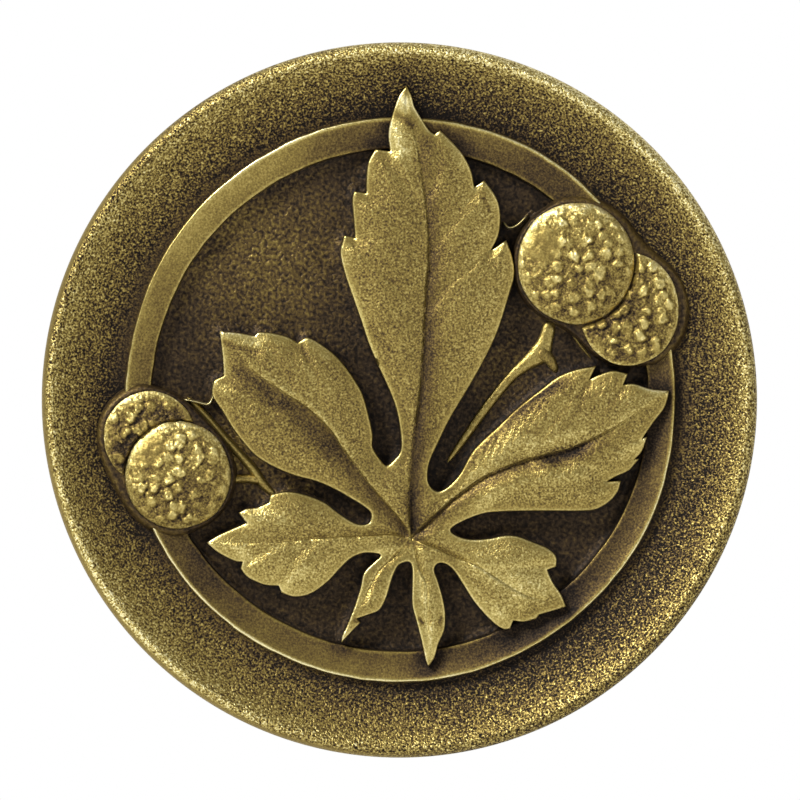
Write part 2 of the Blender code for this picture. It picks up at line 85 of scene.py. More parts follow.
# Leaf outline, clockwise from the tip of the long lobe, in runs between the teeth. Each run starts where
# the one before it ends, and the last one ends at the tip again
LEAF_OUTLINE = [
    # Long upper lobe, right side
    [(411, 96), (414, 107), (421, 119), (428, 130), (434, 135)],
    [(440, 131)],
    [(453, 144), (463, 156), (471, 172), (474, 188)],
    [(484, 181)],
    [(496, 198), (500, 215), (498, 236), (490, 252)],
    [(506, 241)],
    # Hollow between the upper and the right lobe
    [(512, 258), (514, 275), (509, 295), (496, 335), (476, 375), (451, 417), (438, 443),
     (429, 463), (427, 478), (430, 488), (438, 493), (448, 488), (460, 475), (474, 451), (499, 427),
     (519, 408), (542, 390), (558, 378), (575, 371), (596, 367)],
    # Right lobe
    [(589, 381)],
    [(599, 376), (613, 372), (628, 375)],
    [(623, 386)],
    [(634, 385), (650, 390), (669, 392)],
    [(667, 402), (663, 411), (653, 424), (642, 440)],
    [(647, 438)],
    [(642, 452), (634, 461)],
    [(639, 460)],
    [(634, 466), (628, 472), (615, 478), (606, 483)],
    [(621, 482)],
    # Hollow between the right and the lower right lobe
    [(618, 492), (610, 502), (597, 510), (582, 512), (558, 512), (526, 512), (494, 513),
     (478, 516), (459, 524), (450, 531), (456, 537), (470, 541), (489, 540), (505, 537), (518, 538),
     (534, 544), (548, 550), (556, 558), (556, 568)],
    # Lower right lobe
    [(547, 571)],
    [(553, 584), (561, 596), (566, 608)],
    [(553, 612), (539, 616)],
    [(536, 620)],
    [(524, 623), (513, 622)],
    [(510, 630)],
    # Hollow between the lower right and the lower lobe
    [(502, 630), (489, 620), (474, 603), (462, 584), (454, 572), (447, 566), (440, 564),
     (435, 567), (434, 573), (438, 584), (443, 602), (445, 616), (444, 631), (438, 645), (434, 659),
     (428, 668)],
    # Hollow between the lower and the small lobe
    [(425, 660), (421, 641), (416, 622), (412, 606), (412, 586), (412, 570), (410, 564),
     (406, 563), (400, 565), (396, 569), (391, 581), (386, 598), (379, 611), (368, 616), (356, 620)],
    # Small lobe
    [(360, 624)],
    [(351, 633), (341, 644)],
    # Hollow between the small and the lower left lobe
    [(342, 637), (348, 624), (354, 608), (360, 590), (364, 574), (376, 562), (380, 558),
     (378, 555), (364, 554), (351, 559), (339, 570), (327, 583), (310, 595), (294, 598), (281, 594)],
    # Lower left lobe
    [(278, 587)],
    [(264, 586), (248, 579), (240, 570)],
    [(242, 563)],
    [(234, 562), (218, 554), (206, 544)],
    [(217, 537), (230, 531), (246, 524)],
    [(238, 514)],
    [(246, 510), (256, 509), (268, 504)],
    [(270, 496)],
    # Hollow between the lower left and the left lobe
    [(286, 493), (304, 496), (324, 504), (337, 514), (351, 523), (359, 526), (368, 525),
     (371, 519), (370, 513), (363, 507), (350, 499), (334, 490), (315, 482), (296, 477), (276, 469),
     (257, 458), (245, 446), (232, 429), (222, 412), (212, 397), (212, 387), (214, 381)],
    # Left lobe
    [(223, 377)],
    [(222, 358), (219, 332)],
    [(238, 334), (254, 337)],
    [(258, 333)],
    [(271, 334), (287, 338), (297, 344)],
    [(306, 338)],
    # Hollow between the left and the upper lobe
    [(315, 342), (328, 351), (339, 361), (350, 375), (361, 393), (367, 412), (372, 435),
     (372, 448), (379, 460), (386, 467), (394, 461), (400, 453), (401, 440), (397, 414), (389, 391),
     (371, 351), (359, 316), (346, 279), (340, 255), (342, 243), (344, 236)],
    # Long upper lobe, left side
    [(355, 239)],
    [(353, 215), (352, 200), (354, 192)],
    [(366, 194)],
    [(366, 180), (368, 163), (375, 150)],
    [(390, 152)],
    [(388, 135), (391, 119), (398, 98), (406, 86)],
]
LEAF_HUB = (411, 539)


class Side(Enum):
    """Which side of a vein, looking from the hub to the tip, slopes up softly and holds the patina and a
    painted shade.
    """

    LEFT = 1.0
    RIGHT = -1.0


@dataclass(frozen=True)
class Vein:
    """One main vein: its route from the hub, its soft side, and that side's depth, reach, and darkening by
    patina and painted shade.
    """

    route: tuple[Point, ...]
    soft: Side
    depth: float
    reach: float
    stain_and_shade: float


@dataclass(frozen=True)
class Stroke:
    """A soft ridge or fold: its route, its reach on the picture, and what it adds to tone and height."""

    route: tuple[Point, ...]
    reach: float
    tone: float
    height: float = 0.0


@dataclass(frozen=True)
class Ball:
    """One seed ball as it lies on the picture.

    It has a name, a centre, half its width, whether it lies behind the other of its pair, the middle of
    its worn spot, a tone, and how tall it is as a share of its width.
    """

    name: str
    centre: Point
    size: float
    behind: bool
    worn: Point
    tone: float
    tall: float


MAIN_VEINS = (
    Vein((LEAF_HUB, (410, 500), (414, 440), (420, 395), (424, 347), (426, 300), (429, 260), (428, 225),
          (424, 189), (418, 150), (410, 115), (406, 86)), Side.RIGHT, 0.00026, 0.00044, 0.25),
    Vein((LEAF_HUB, (430, 521), (454, 500), (486, 478), (526, 462), (566, 452), (597, 438), (621, 425),
          (645, 409), (669, 392)), Side.RIGHT, 0.00028, 0.00040, 0.22),
    Vein((LEAF_HUB, (432, 547), (454, 557), (474, 565), (489, 574), (521, 594), (545, 602), (566, 608)),
         Side.LEFT, 0.00016, 0.00030, 0.08),
    Vein((LEAF_HUB, (419, 568), (426, 584), (427, 605), (427, 640), (428, 668)),
         Side.LEFT, 0.00010, 0.00010, 0.05),
    Vein((LEAF_HUB, (400, 552), (389, 562), (378, 573), (371, 586), (362, 603), (351, 622), (341, 644)),
         Side.LEFT, 0.00010, 0.00018, 0.08),
    Vein((LEAF_HUB, (391, 535), (364, 536), (324, 538), (284, 542), (250, 544), (206, 544)),
         Side.RIGHT, 0.00020, 0.00034, 0.10),
    Vein((LEAF_HUB, (398, 520), (381, 501), (366, 483), (340, 448), (328, 430), (308, 411), (283, 394),
          (257, 376), (238, 356), (219, 332)), Side.LEFT, 0.00026, 0.00048, 0.22),
)

# Faint side veins, from a main vein out to a tooth
SIDE_VEINS = (
    ((426, 330), (398, 290), (370, 262), (350, 246)),
    ((428, 275), (402, 232), (378, 206), (361, 198)),
    ((426, 225), (408, 190), (391, 168), (380, 156)),
    ((428, 310), (452, 282), (474, 262), (492, 250)),
    ((429, 255), (450, 226), (466, 205), (478, 190)),
    ((424, 205), (434, 180), (438, 158), (438, 140)),
    ((328, 430), (318, 392), (309, 362), (304, 346)),
    ((296, 402), (282, 372), (268, 350), (259, 340)),
    ((308, 411), (276, 410), (246, 398), (222, 384)),
    ((526, 462), (548, 428), (568, 402), (586, 386)),
    ((580, 447), (596, 420), (610, 400), (622, 388)),
    ((545, 457), (576, 466), (598, 474), (612, 482)),
    ((597, 438), (616, 446), (628, 452), (638, 458)),
    ((324, 538), (302, 552), (288, 570), (281, 588)),
    ((310, 540), (292, 524), (276, 514), (262, 508)),
    ((284, 542), (264, 552), (250, 560), (243, 566)),
    ((489, 574), (516, 570), (534, 568), (550, 566)),
    ((510, 588), (514, 602), (518, 612), (516, 622)),
)

# Ridges and curled tips with painted highlights and rubbing, and folds and nicks with painted shade, on the
# leaf, over the picture
STROKES = (
    Stroke(((403, 101), (402, 111)), 7, 0.28),
    Stroke(((406, 86), (405, 93)), 5, -0.16),
    Stroke(((404, 98), (416, 112), (427, 131)), 5, 0.20),
    Stroke(((393, 113), (402, 118), (412, 128)), 3.5, -0.24, -0.00003),
    Stroke(((394, 130), (400, 152)), 10, 0.30, 0.00004),
    Stroke(((416, 130), (414, 150)), 7, 0.10),
    Stroke(((399, 158), (408, 176), (417, 196)), 3, 0.07, 0.00002),
    Stroke(((420, 124), (430, 146)), 6, -0.08, -0.00003),
    Stroke(((441, 136), (456, 150), (465, 166)), 6, 0.12, 0.00002),
    Stroke(((476, 190), (488, 186), (494, 206)), 4, 0.09, 0.00002),
    Stroke(((482, 196), (489, 212)), 2.5, -0.12, -0.00003),
    Stroke(((494, 258), (505, 246)), 5, 0.02),
    Stroke(((349, 245), (346, 262)), 5, 0.06),
    Stroke(((372, 155), (370, 175)), 5, 0.06),
    Stroke(((370, 330), (382, 345), (392, 352)), 5, -0.07, -0.00002),
    Stroke(((343, 250), (350, 285), (360, 318), (374, 356)), 6, 0.09),
    Stroke(((452, 488), (476, 451), (507, 424), (540, 400), (562, 384)), 8, -0.18),
    Stroke(((448, 484), (473, 448), (504, 420), (530, 402), (556, 385)), 3, -0.20),
    Stroke(((470, 495), (505, 470), (540, 456), (575, 447)), 5, -0.06),
    Stroke(((553, 462), (580, 452)), 7, -0.09),
    Stroke(((505, 625), (530, 613), (550, 605)), 7, -0.11),
    Stroke(((440, 560), (468, 577), (492, 597)), 7, -0.08),
    Stroke(((457, 489), (492, 462), (515, 443), (536, 447), (556, 441), (582, 433)), 9, 0.11, 0.00005),
    Stroke(((545, 458), (566, 455), (586, 446)), 7, -0.15, -0.00003),
    Stroke(((478, 503), (515, 484), (550, 478), (582, 474)), 9, 0.10, 0.00006),
    Stroke(((500, 506), (540, 507), (590, 505)), 6, -0.06),
    Stroke(((640, 386), (655, 393), (668, 393)), 4, 0.20, 0.00003),
    Stroke(((622, 456), (640, 446), (645, 441)), 5, 0.13, 0.00003),
    Stroke(((612, 432), (634, 410), (650, 400)), 7, 0.09),
    Stroke(((589, 381), (583, 395), (580, 408)), 3, -0.10, -0.00003),
    Stroke(((623, 386), (616, 400)), 3, -0.08, -0.00003),
    Stroke(((220, 334), (238, 338), (256, 344)), 6, 0.25, 0.00002),
    Stroke(((222, 342), (240, 350), (258, 352)), 2.5, -0.14, -0.00003),
    Stroke(((224, 350), (226, 372)), 4, 0.14),
    Stroke(((214, 384), (226, 392)), 4, 0.12),
    Stroke(((249, 366), (281, 388), (308, 405), (332, 429), (350, 453)), 4, 0.14, 0.00004),
    Stroke(((240, 374), (268, 396), (296, 418), (325, 450)), 10, -0.11, -0.00003),
    Stroke(((298, 341), (303, 352), (308, 362)), 2.5, -0.17, -0.00004),
    Stroke(((303, 340), (316, 348), (326, 358)), 5, 0.15, 0.00002),
    Stroke(((262, 337), (285, 342)), 5, 0.14),
    Stroke(((300, 362), (330, 392)), 12, 0.05),
    Stroke(((248, 520), (262, 514), (279, 518)), 8, 0.15, 0.00005),
    Stroke(((208, 544), (226, 546), (243, 552)), 6, 0.09, 0.00003),
    Stroke(((281, 590), (292, 580), (304, 572)), 7, 0.10, 0.00003),
    Stroke(((240, 556), (252, 560)), 5, 0.10),
    Stroke(((512, 575), (530, 585), (545, 595)), 8, 0.07, 0.00005),
    Stroke(((553, 600), (563, 606)), 5, -0.08),
    Stroke(((500, 548), (525, 545), (550, 560)), 6, -0.04),
    Stroke(((497, 612), (506, 624)), 5, 0.12, 0.00003),
    Stroke(((440, 548), (457, 561)), 4, -0.10, -0.00003),
    Stroke(((476, 566), (500, 580), (520, 592)), 6, 0.10, 0.00003),
    Stroke(((378, 552), (400, 550), (421, 553)), 4, 0.12, 0.00005),
    Stroke(((408, 500), (409, 532)), 8, -0.12),
    Stroke(((418, 528), (440, 510)), 6, -0.08),
    Stroke(((350, 634), (344, 641)), 4, 0.10),
    Stroke(((354, 621), (359, 623)), 2, -0.32, -0.00006),
    Stroke(((392, 572), (384, 600)), 3, 0.05),
    Stroke(((520, 492), (590, 482)), 14, -0.04),
    Stroke(((419, 620), (422, 625)), 1.8, -0.32, -0.00006),
    Stroke(((441, 619), (439, 625)), 1.8, -0.32, -0.00006),
    Stroke(((430, 630), (429, 655)), 5, 0.16, 0.00004),
    Stroke(((425, 590), (428, 628)), 8, 0.08),
    Stroke(((418, 575), (421, 600)), 3, 0.10),
)

SEED_BALLS = (
    Ball("right_front_ball", (576, 264), 58, False, (542, 246), 0.44, 1.05),
    Ball("right_back_ball", (629, 310), 50, True, (590, 280), 0.44, 1.13),
    Ball("left_front_ball", (177, 476), 53, False, (146, 448), 0.41, 1.02),
    Ball("left_back_ball", (149, 438), 46, True, (176, 462), 0.35, 1.0),
)


def on_face(points: Sequence[Point]) -> Array:
    """Places across and up the face, in metres, of points picked on the picture."""
    picked = np.asarray(points, dtype=float)
    return (picked - PICTURE_CENTRE) * (PICTURE_SCALE, -PICTURE_SCALE)


def smooth_run(points: Sequence[Point], spans: int) -> Array:
    """A smooth curve through picked points, without its last point.

    Between two knots the curve is the cubic whose slope at each knot is half the step between the
    knots on either side of it.

    Args:
        points: The picked points.
        spans: How many straight spans stand for the curve between two points.

    Returns:
        The curve's places on the face.
    """
    knots = on_face(points)
    ends = np.vstack([2 * knots[0] - knots[1], knots, 2 * knots[-1] - knots[-2]])
    before, start, stop, after = (ends[first:first + len(knots) - 1, None] for first in range(4))
    t = (np.arange(spans) / spans)[None, :, None]
    bend = (2 * before - 5 * start + 4 * stop - after) * t**2
    turn = (3 * start - before - 3 * stop + after) * t**3
    return ((2 * start + (stop - before) * t + bend + turn) / 2).reshape(-1, 2)


def smooth_route(points: Sequence[Point], spans: int) -> Array:
    """The smooth curve through picked points, with its last point."""
    return np.vstack([smooth_run(points, spans), on_face(points[-1:])])


def outline_of_leaf(spans: int) -> Array:
    """The leaf's closed outline, clockwise, with so many spans between two picked points."""
    starts = [run[-1] for run in (LEAF_OUTLINE[-1], *LEAF_OUTLINE)]
    return np.vstack([smooth_run([start, *run], spans) for start, run in zip(starts, LEAF_OUTLINE)])


def square_to(run: Array) -> Array:
    """The direction, one unit long, that stands square to each step and to the left of it."""
    return np.column_stack([-run[:, 1], run[:, 0]]) / np.linalg.norm(run, axis=1)[:, None]


def round_angles(columns: int) -> Array:
    """One row of equal turns round the knob's axis, from the right, anticlockwise."""
    return 2 * pi * np.arange(columns)[None, :] / columns


def round_the_turn(angle: Array, values: Sequence[float]) -> Array:
    """Values picked at equal turns, from the right, anticlockwise, joined by straight lines."""
    turns = 2 * pi * np.arange(len(values) + 1) / len(values)
    return np.interp(angle, turns, [*values, values[0]])


def with_last_again(grid: Array) -> Array:
    """The grid with its last row said once more, for the wall that drops from its edge."""
    return np.vstack([grid, grid[-1:]])


def nearest_on_lines(points: Array, starts: Array, stops: Array) -> tuple[Array, Array, Array]:
    """How each point lies to the nearest of some straight lines.

    The foot on each line is its start plus the share of the line, held within 0 and 1, at which the
    point stands square to it. The nearest foot gives the distance, and the cross product of the
    line's direction and the offset gives the side.

    Args:
        points: The places to measure from.
        starts: The start of each line.
        stops: The end of each line.

    Returns:
        The distance, the side, 1 to the left of the line and -1 to its right, and the line's number
        plus the share along it.
    """
    along = stops - starts
    length2 = np.maximum((along**2).sum(axis=1), 1e-18)
    gaps, sides, places = [], [], []
    for block in np.array_split(points, max(1, len(points) * len(starts) // BLOCK_SIZE)):
        offset = block[:, None] - starts[None]
        share = np.clip((offset * along).sum(axis=2) / length2, 0, 1)
        rest = offset - share[..., None] * along
        square = (rest**2).sum(axis=2)
        best = square.argmin(axis=1)
        row = np.arange(len(block))
        cross = along[best, 0] * rest[row, best, 1] - along[best, 1] * rest[row, best, 0]
        gaps.append(np.sqrt(square[row, best]))
        sides.append(np.where(cross >= 0, 1.0, -1.0))
        places.append(best + share[row, best])
    return np.concatenate(gaps), np.concatenate(sides), np.concatenate(places)


def gap_to_leaf(across: Array, up: Array) -> Array:
    """Distance from places on the face to the leaf's outline.

    Args:
        across: Place across the face for each row and column.
        up: Place up the face.

    Returns:
        The distance for each row and column.
    """
    outline = outline_of_leaf(3)
    places = np.column_stack([across.ravel(), up.ravel()])
    gap, _, _ = nearest_on_lines(places, outline, np.roll(outline, -1, axis=0))
    return gap.reshape(across.shape)


def inside_outline(points: Array, outline: Array) -> Array:
    """Whether points lie inside a closed outline.

    A point does where the level line to its right crosses the outline an odd number of times.

    Args:
        points: The places to test.
        outline: The outline's corners in order.

    Returns:
        True for each point inside.
    """
    starts, stops = outline, np.roll(outline, -1, axis=0)
    answers = []
    for block in np.array_split(points, max(1, len(points) * len(starts) // BLOCK_SIZE)):
        x, y = block[:, None, 0], block[:, None, 1]
        straddles = (starts[None, :, 1] > y) != (stops[None, :, 1] > y)
        rise = np.where(straddles, stops[None, :, 1] - starts[None, :, 1], 1.0)
        crossing = starts[None, :, 0] + (y - starts[None, :, 1]) * (stops - starts)[None, :, 0] / rise
        answers.append((straddles & (crossing > x)).sum(axis=1) % 2 == 1)
    return np.concatenate(answers)


def soft_noise(across: Array, up: Array, size: float, seed: int) -> Array:
    """Smooth random waves from -1 to 1, of one size.

    A table of random numbers stands on a square lattice of that size, and each place takes the
    smooth-step blend of the four numbers around it.

    Args:
        across: Places across the face.
        up: Places up the face.
        size: The lattice's step, in metres.
        seed: Which table of random numbers.

    Returns:
        The wave's value at each place.
    """
    table = np.random.default_rng(seed).uniform(-1, 1, (WAVE_TABLE, WAVE_TABLE))
    u, v = across / size, up / size
    column, row = np.floor(u).astype(int), np.floor(v).astype(int)
    fu, fv = step_up(u - column, 0, 1), step_up(v - row, 0, 1)
    left, right = column % WAVE_TABLE, (column + 1) % WAVE_TABLE
    low, high = (table[line, left] * (1 - fu) + table[line, right] * fu
                 for line in (row % WAVE_TABLE, (row + 1) % WAVE_TABLE))
    return low * (1 - fv) + high * fv


def scattered_studs(across: Array, up: Array, spacing: float, seed: int) -> tuple[Array, Array]:
    """Distance to the nearest of some scattered studs, and that stud's own random number.

    Each square of the spacing holds one stud, moved at random within it; the nine squares around a
    place are searched.

    Args:
        across: Places across the face.
        up: Places up the face.
        spacing: The side of a square, in metres.
        seed: Which scatter.

    Returns:
        The distance and the number, from 0 to 1, at each place.
    """
    generator = np.random.default_rng(seed)
    shift = generator.uniform(0.14, 0.86, (STUD_TABLE, STUD_TABLE, 2))
    chance = generator.uniform(0, 1, (STUD_TABLE, STUD_TABLE))
    u, v = across / spacing, up / spacing
    column, row = np.floor(u).astype(int), np.floor(v).astype(int)
    nearest, number = np.full(np.shape(u), 9.0), np.zeros(np.shape(u))
    for step in range(9):
        c, r = column + step % 3 - 1, row + step // 3 - 1
        square = r % STUD_TABLE, c % STUD_TABLE
        gap = np.hypot(c + shift[square][..., 0] - u, r + shift[square][..., 1] - v)
        closer = gap < nearest
        nearest = np.where(closer, gap, nearest)
        number = np.where(closer, chance[square], number)
    return nearest * spacing, number


def bell(distance: Array, reach: float) -> Array:
    """A bell curve, 1 at no distance and about a third at the reach."""
    return np.exp(-((distance / reach) ** 2))


def step_up(value: Array, low: float, high: float) -> Array:
    """A smooth step from 0 below the low value to 1 above the high one."""
    share = np.clip((value - low) / (high - low), 0, 1)
    return share * share * (3 - 2 * share)


@dataclass
class Surface:
    """A closed surface: its points, its four- and three-cornered faces and its painted values.

    tone is how bright the metal is there, from rubbing and patina and from painted light and shade, and grit
    is how strongly its grain shows.
    """

    points: Array
    quads: Array
    triangles: Array
    tone: Array
    grit: Array

    def outward(self) -> "Surface":
        """The same surface with its faces towards the outside.

        Half the sum, over triangles, of the corners' triple product is three times the enclosed
        volume, which is below zero where the faces look inwards.

        Returns:
            This surface, its faces turned over where that is needed.
        """
        fans = np.vstack([self.triangles, self.quads[:, :3], self.quads[:, [0, 2, 3]]])
        a, b, c = (self.points[fans[:, corner]] for corner in range(3))
        if (a * np.cross(b, c)).sum() < 0:
            self.quads, self.triangles = self.quads[:, ::-1], self.triangles[:, ::-1]
        return self


def wrapped_surface(across: Array, up: Array, height: Array, tone: Array, grit: Array,
                    ring_of_rows: bool) -> Surface:
    """A surface over a grid whose columns run round and meet.

    Args:
        across: Place across the face for each row and column.
        up: Place up the face.
        height: Height over the foot.
        tone: How bright the metal is.
        grit: How strongly its grain shows.
        ring_of_rows: Whether the last row meets the first; if not, each end closes in one point, at
            the middle of its row.

    Returns:
        The closed surface, facing outwards.
    """
    rows, columns = across.shape
    grid = np.arange(rows * columns).reshape(rows, columns)
    below = np.roll(grid, -1, axis=0) if ring_of_rows else grid[1:]
    above = grid if ring_of_rows else grid[:-1]
    quads = np.stack([above, np.roll(above, -1, axis=1), np.roll(below, -1, axis=1), below], axis=-1)
    points = np.stack([across, -height, up], axis=-1).reshape(-1, 3)
    tone, grit = tone.ravel(), grit.ravel()
    triangles = np.zeros((0, 3), dtype=int)
    if not ring_of_rows:
        first, last = grid[0], grid[-1]
        poles = np.array([points[first].mean(axis=0), points[last].mean(axis=0)])
        start, stop = np.full(columns, len(points)), np.full(columns, len(points) + 1)
        triangles = np.vstack([np.column_stack([start, np.roll(first, -1), first]),
                               np.column_stack([stop, last, np.roll(last, -1)])])
        points = np.vstack([points, poles])
        tone = np.append(tone, [tone[first].mean(), tone[last].mean()])
        grit = np.append(grit, [grit[first].mean(), grit[last].mean()])
    return Surface(points, quads.reshape(-1, 4), triangles, tone, grit).outward()


def turned_surface(profile: Array, columns: int, tone: Array, grit: Array,
                   ring_of_rows: bool) -> Surface:
    """A profile carried round the knob's axis: across is radius times cosine, up is radius times sine.

    Args:
        profile: Rows of radius and height.
        columns: How many turns make the full circle.
        tone: How bright the metal is at each row.
        grit: How strongly its grain shows at each row.
        ring_of_rows: Whether the last row meets the first.

    Returns:
        The closed surface.
    """
    angle = round_angles(columns)
    radius, height = profile[:, :1], profile[:, 1:]
    spread = np.ones((1, columns))
    return wrapped_surface(radius * np.cos(angle), radius * np.sin(angle), height * spread,
                           tone[:, None] * spread, grit[:, None] * spread, ring_of_rows)


def finer(profile: Sequence[Point], spacing: float) -> Array:
    """A profile with points added along it, evenly between its own.

    Args:
        profile: Points of radius and height.
        spacing: The furthest that two neighbours may stand apart.

    Returns:
        The same profile in more rows.
    """
    knots = np.array(profile, dtype=float)
    length = np.linalg.norm(np.diff(knots, axis=0), axis=1)
    travelled = np.concatenate([[0], np.cumsum(length)])
    steps = np.maximum(1, np.ceil(length / spacing)).astype(int)
    spans = [np.linspace(a, b, n, endpoint=False) for a, b, n in zip(travelled, travelled[1:], steps)]
    places = np.append(np.concatenate(spans), travelled[-1])
    return np.column_stack([np.interp(places, travelled, knots[:, axis]) for axis in range(2)])


class Socket:
    """A value in a shader, with the arithmetic that adds its Math nodes."""

    def __init__(self, sheet: "ShaderSheet", source: bpy.types.NodeSocket) -> None:
        """Wraps an output socket of a node on the sheet."""
        self.sheet = sheet
        self.source = source

    def maths(self, operation: str, *others: object, clamp: bool = False) -> "Socket":
        """A Math node on this value.

        Args:
            operation: The node's operation.
            others: Its other values, plain or linked.
            clamp: Whether the answer is held within 0 and 1.

        Returns:
            The node's answer.
        """
        settings = {"operation": operation, "use_clamp": clamp}
        return self.sheet.value("ShaderNodeMath", settings, dict(enumerate((self, *others))))

    def reflected(self, operation: str, other: float) -> "Socket":
        """A Math node with a plain number first and this value second."""
        return self.sheet.value("ShaderNodeMath", {"operation": operation}, {0: other, 1: self})

    def __add__(self, other: object) -> "Socket":
        """Sum."""
        return self.maths("ADD", other)

    def __radd__(self, other: float) -> "Socket":
        """Sum with a number in front."""
        return self.reflected("ADD", other)

    def __sub__(self, other: object) -> "Socket":
        """Difference."""
        return self.maths("SUBTRACT", other)

    def __rsub__(self, other: float) -> "Socket":
        """Difference from a number in front."""
        return self.reflected("SUBTRACT", other)

    def __mul__(self, other: object) -> "Socket":
        """Product."""
        return self.maths("MULTIPLY", other)

    def __rmul__(self, other: float) -> "Socket":
        """Product with a number in front."""
        return self.reflected("MULTIPLY", other)

    def stepped(self, low: float, high: float) -> "Socket":
        """A straight rise from 0 at the low value to 1 at the high one, held within them."""
        return self.maths("MULTIPLY_ADD", 1 / (high - low), -low / (high - low), clamp=True)


class ShaderSheet:
    """The node tree of one material or of the world."""

    def __init__(self, tree: bpy.types.NodeTree) -> None:
        """Empties the tree."""
        self.tree = tree
        tree.nodes.clear()

    def add(self, kind: str, settings: dict[str, object] | None = None,
            values: dict[int | str, object] | None = None) -> bpy.types.Node:
        """A node of any type.

        Args:
            kind: The node's type.
            settings: Its own settings, set first; stops are a ramp's places and colours.
            values: A number, a colour or a link for its sockets, by name or number.

        Returns:
            The new node.
        """
        node = self.tree.nodes.new(kind)
        for name, setting in (settings or {}).items():
            if name == "stops":
                self.set_stops(node, setting)
            else:
                setattr(node, name, setting)
        for key, value in (values or {}).items():
            if isinstance(value, Socket):
                self.tree.links.new(value.source, node.inputs[key])
            else:
                node.inputs[key].default_value = value
        return node

    def value(self, kind: str, settings: dict[str, object], values: dict[int | str, object],
              output: int | str = 0) -> Socket:
        """One output of a new node, ready for arithmetic; the first three are as in add."""
        return Socket(self, self.add(kind, settings, values).outputs[output])

    @staticmethod
    def set_stops(node: bpy.types.Node, stops: Sequence[tuple[float, Colour]]) -> None:
        """Gives a ramp its stops.

        Args:
            node: The ramp.
            stops: The place and the colour of each stop, in order.
        """
        elements = node.color_ramp.elements
        while len(elements) < len(stops):
            elements.new(1.0)
        for element, (position, colour) in zip(elements, stops):
            element.position = position
            element.color = (*colour, 1.0)

    def attribute(self, name: str) -> Socket:
        """A value painted on the piece's points."""
        return self.value("ShaderNodeAttribute", {"attribute_name": name}, {}, "Fac")

    def place(self) -> Socket:
        """The place on the piece, in metres."""
        return self.value("ShaderNodeTexCoord", {}, {}, "Object")

    def noise(self, place: Socket, size: float, detail: float, twist: float = 0.0) -> Socket:
        """Random waves about 0.

        Args:
            place: Where the waves are read.
            size: Their size, in metres.
            detail: How many finer waves lie over them.
            twist: How far they are drawn out of shape.

        Returns:
            The waves.
        """
        values = {"Vector": place, "Scale": 1 / size, "Detail": detail, "Roughness": 0.6,
                  "Distortion": twist}
        return self.value("ShaderNodeTexNoise", {}, values, "Fac") - 0.5

    def finish_with(self, kind: str, shader: bpy.types.Node) -> None:
        """Sends the shader to the tree's output node."""
        output = self.add(kind)
        self.tree.links.new(shader.outputs[0], output.inputs["Surface"])


def from_screen(red: int, green: int, blue: int) -> Colour:
    """The linear colour of a screen colour."""
    return tuple((c / 12.92 if c <= 0.04045 else ((c + 0.055) / 1.055) ** 2.4)
                 for c in (red / 255, green / 255, blue / 255))


@dataclass(frozen=True)
class BrassFinish:
    """Antique brass: dark where the tone is low, for patina and for painted shade, and bright where it is
    high, for rubbed metal and for painted highlights.

    The grain and the patches are random waves of two sizes, in metres. Each shifts the tone by its own
    amount, and the grain also raises the surface by its height.
    """

    name: str
    grain_size: float
    grain_tone: float
    grain_height: float
    grain_detail: float = 2.0
    grain_twist: float = 0.0
    patch_size: float = 0.003
    patch_tone: float = 0.04
    stretch: tuple[float, float, float] = (1.0, 1.0, 1.0)
    dark_roughness: float = 0.62
    bright_roughness: float = 0.36
    dark_metal: float = 0.55
    patina_shine: float = 0.25
    first_rubbed: float = 0.15
    fully_rubbed: float = 0.60

    STOPS: ClassVar[tuple[tuple[float, Colour], ...]] = (
        (0.04, from_screen(17, 12, 9)),
        (0.12, from_screen(37, 28, 19)),
        (0.20, from_screen(62, 49, 33)),
        (0.30, from_screen(92, 75, 43)),
        (0.40, from_screen(120, 102, 56)),
        (0.50, from_screen(148, 129, 70)),
        (0.62, from_screen(180, 161, 95)),
        (0.78, from_screen(219, 202, 132)),
        (0.94, from_screen(253, 242, 189)),
    )

    def material(self) -> bpy.types.Material:
        """Makes the material.

        The tone picks the colour from a ramp. From the first rubbed tone to the fully rubbed one the
        metal gets smoother and its shine more like bare metal.

        Returns:
            The finish as a material.
        """
        material = bpy.data.materials.new(self.name)
        material.use_nodes = True
        sheet = ShaderSheet(material.node_tree)
        place = sheet.value("ShaderNodeMapping", {}, {"Vector": sheet.place(), "Scale": self.stretch})
        grit = sheet.attribute("grit")
        grain = sheet.noise(place, self.grain_size, self.grain_detail, self.grain_twist) * grit
        patch = sheet.noise(place, self.patch_size, 2.0)
        tone = sheet.attribute("tone") + grain * self.grain_tone + patch * self.patch_tone
        height = grain * self.grain_height
        colour = sheet.value("ShaderNodeValToRGB", {"stops": self.STOPS}, {"Fac": tone}, "Color")
        bright = tone.stepped(self.first_rubbed, self.fully_rubbed)
        rough = self.dark_roughness + bright * (self.bright_roughness - self.dark_roughness)
        metal = self.dark_metal + bright * (1 - self.dark_metal)
        bump = sheet.value("ShaderNodeBump", {}, {"Height": height, "Distance": 1.0}, "Normal")
        shader = sheet.add("ShaderNodeBsdfPrincipled", {}, {
            "Base Color": colour, "Roughness": rough, "Metallic": metal, "Normal": bump,
            "Specular IOR Level": self.patina_shine})
        sheet.finish_with("ShaderNodeOutputMaterial", shader)
        return material


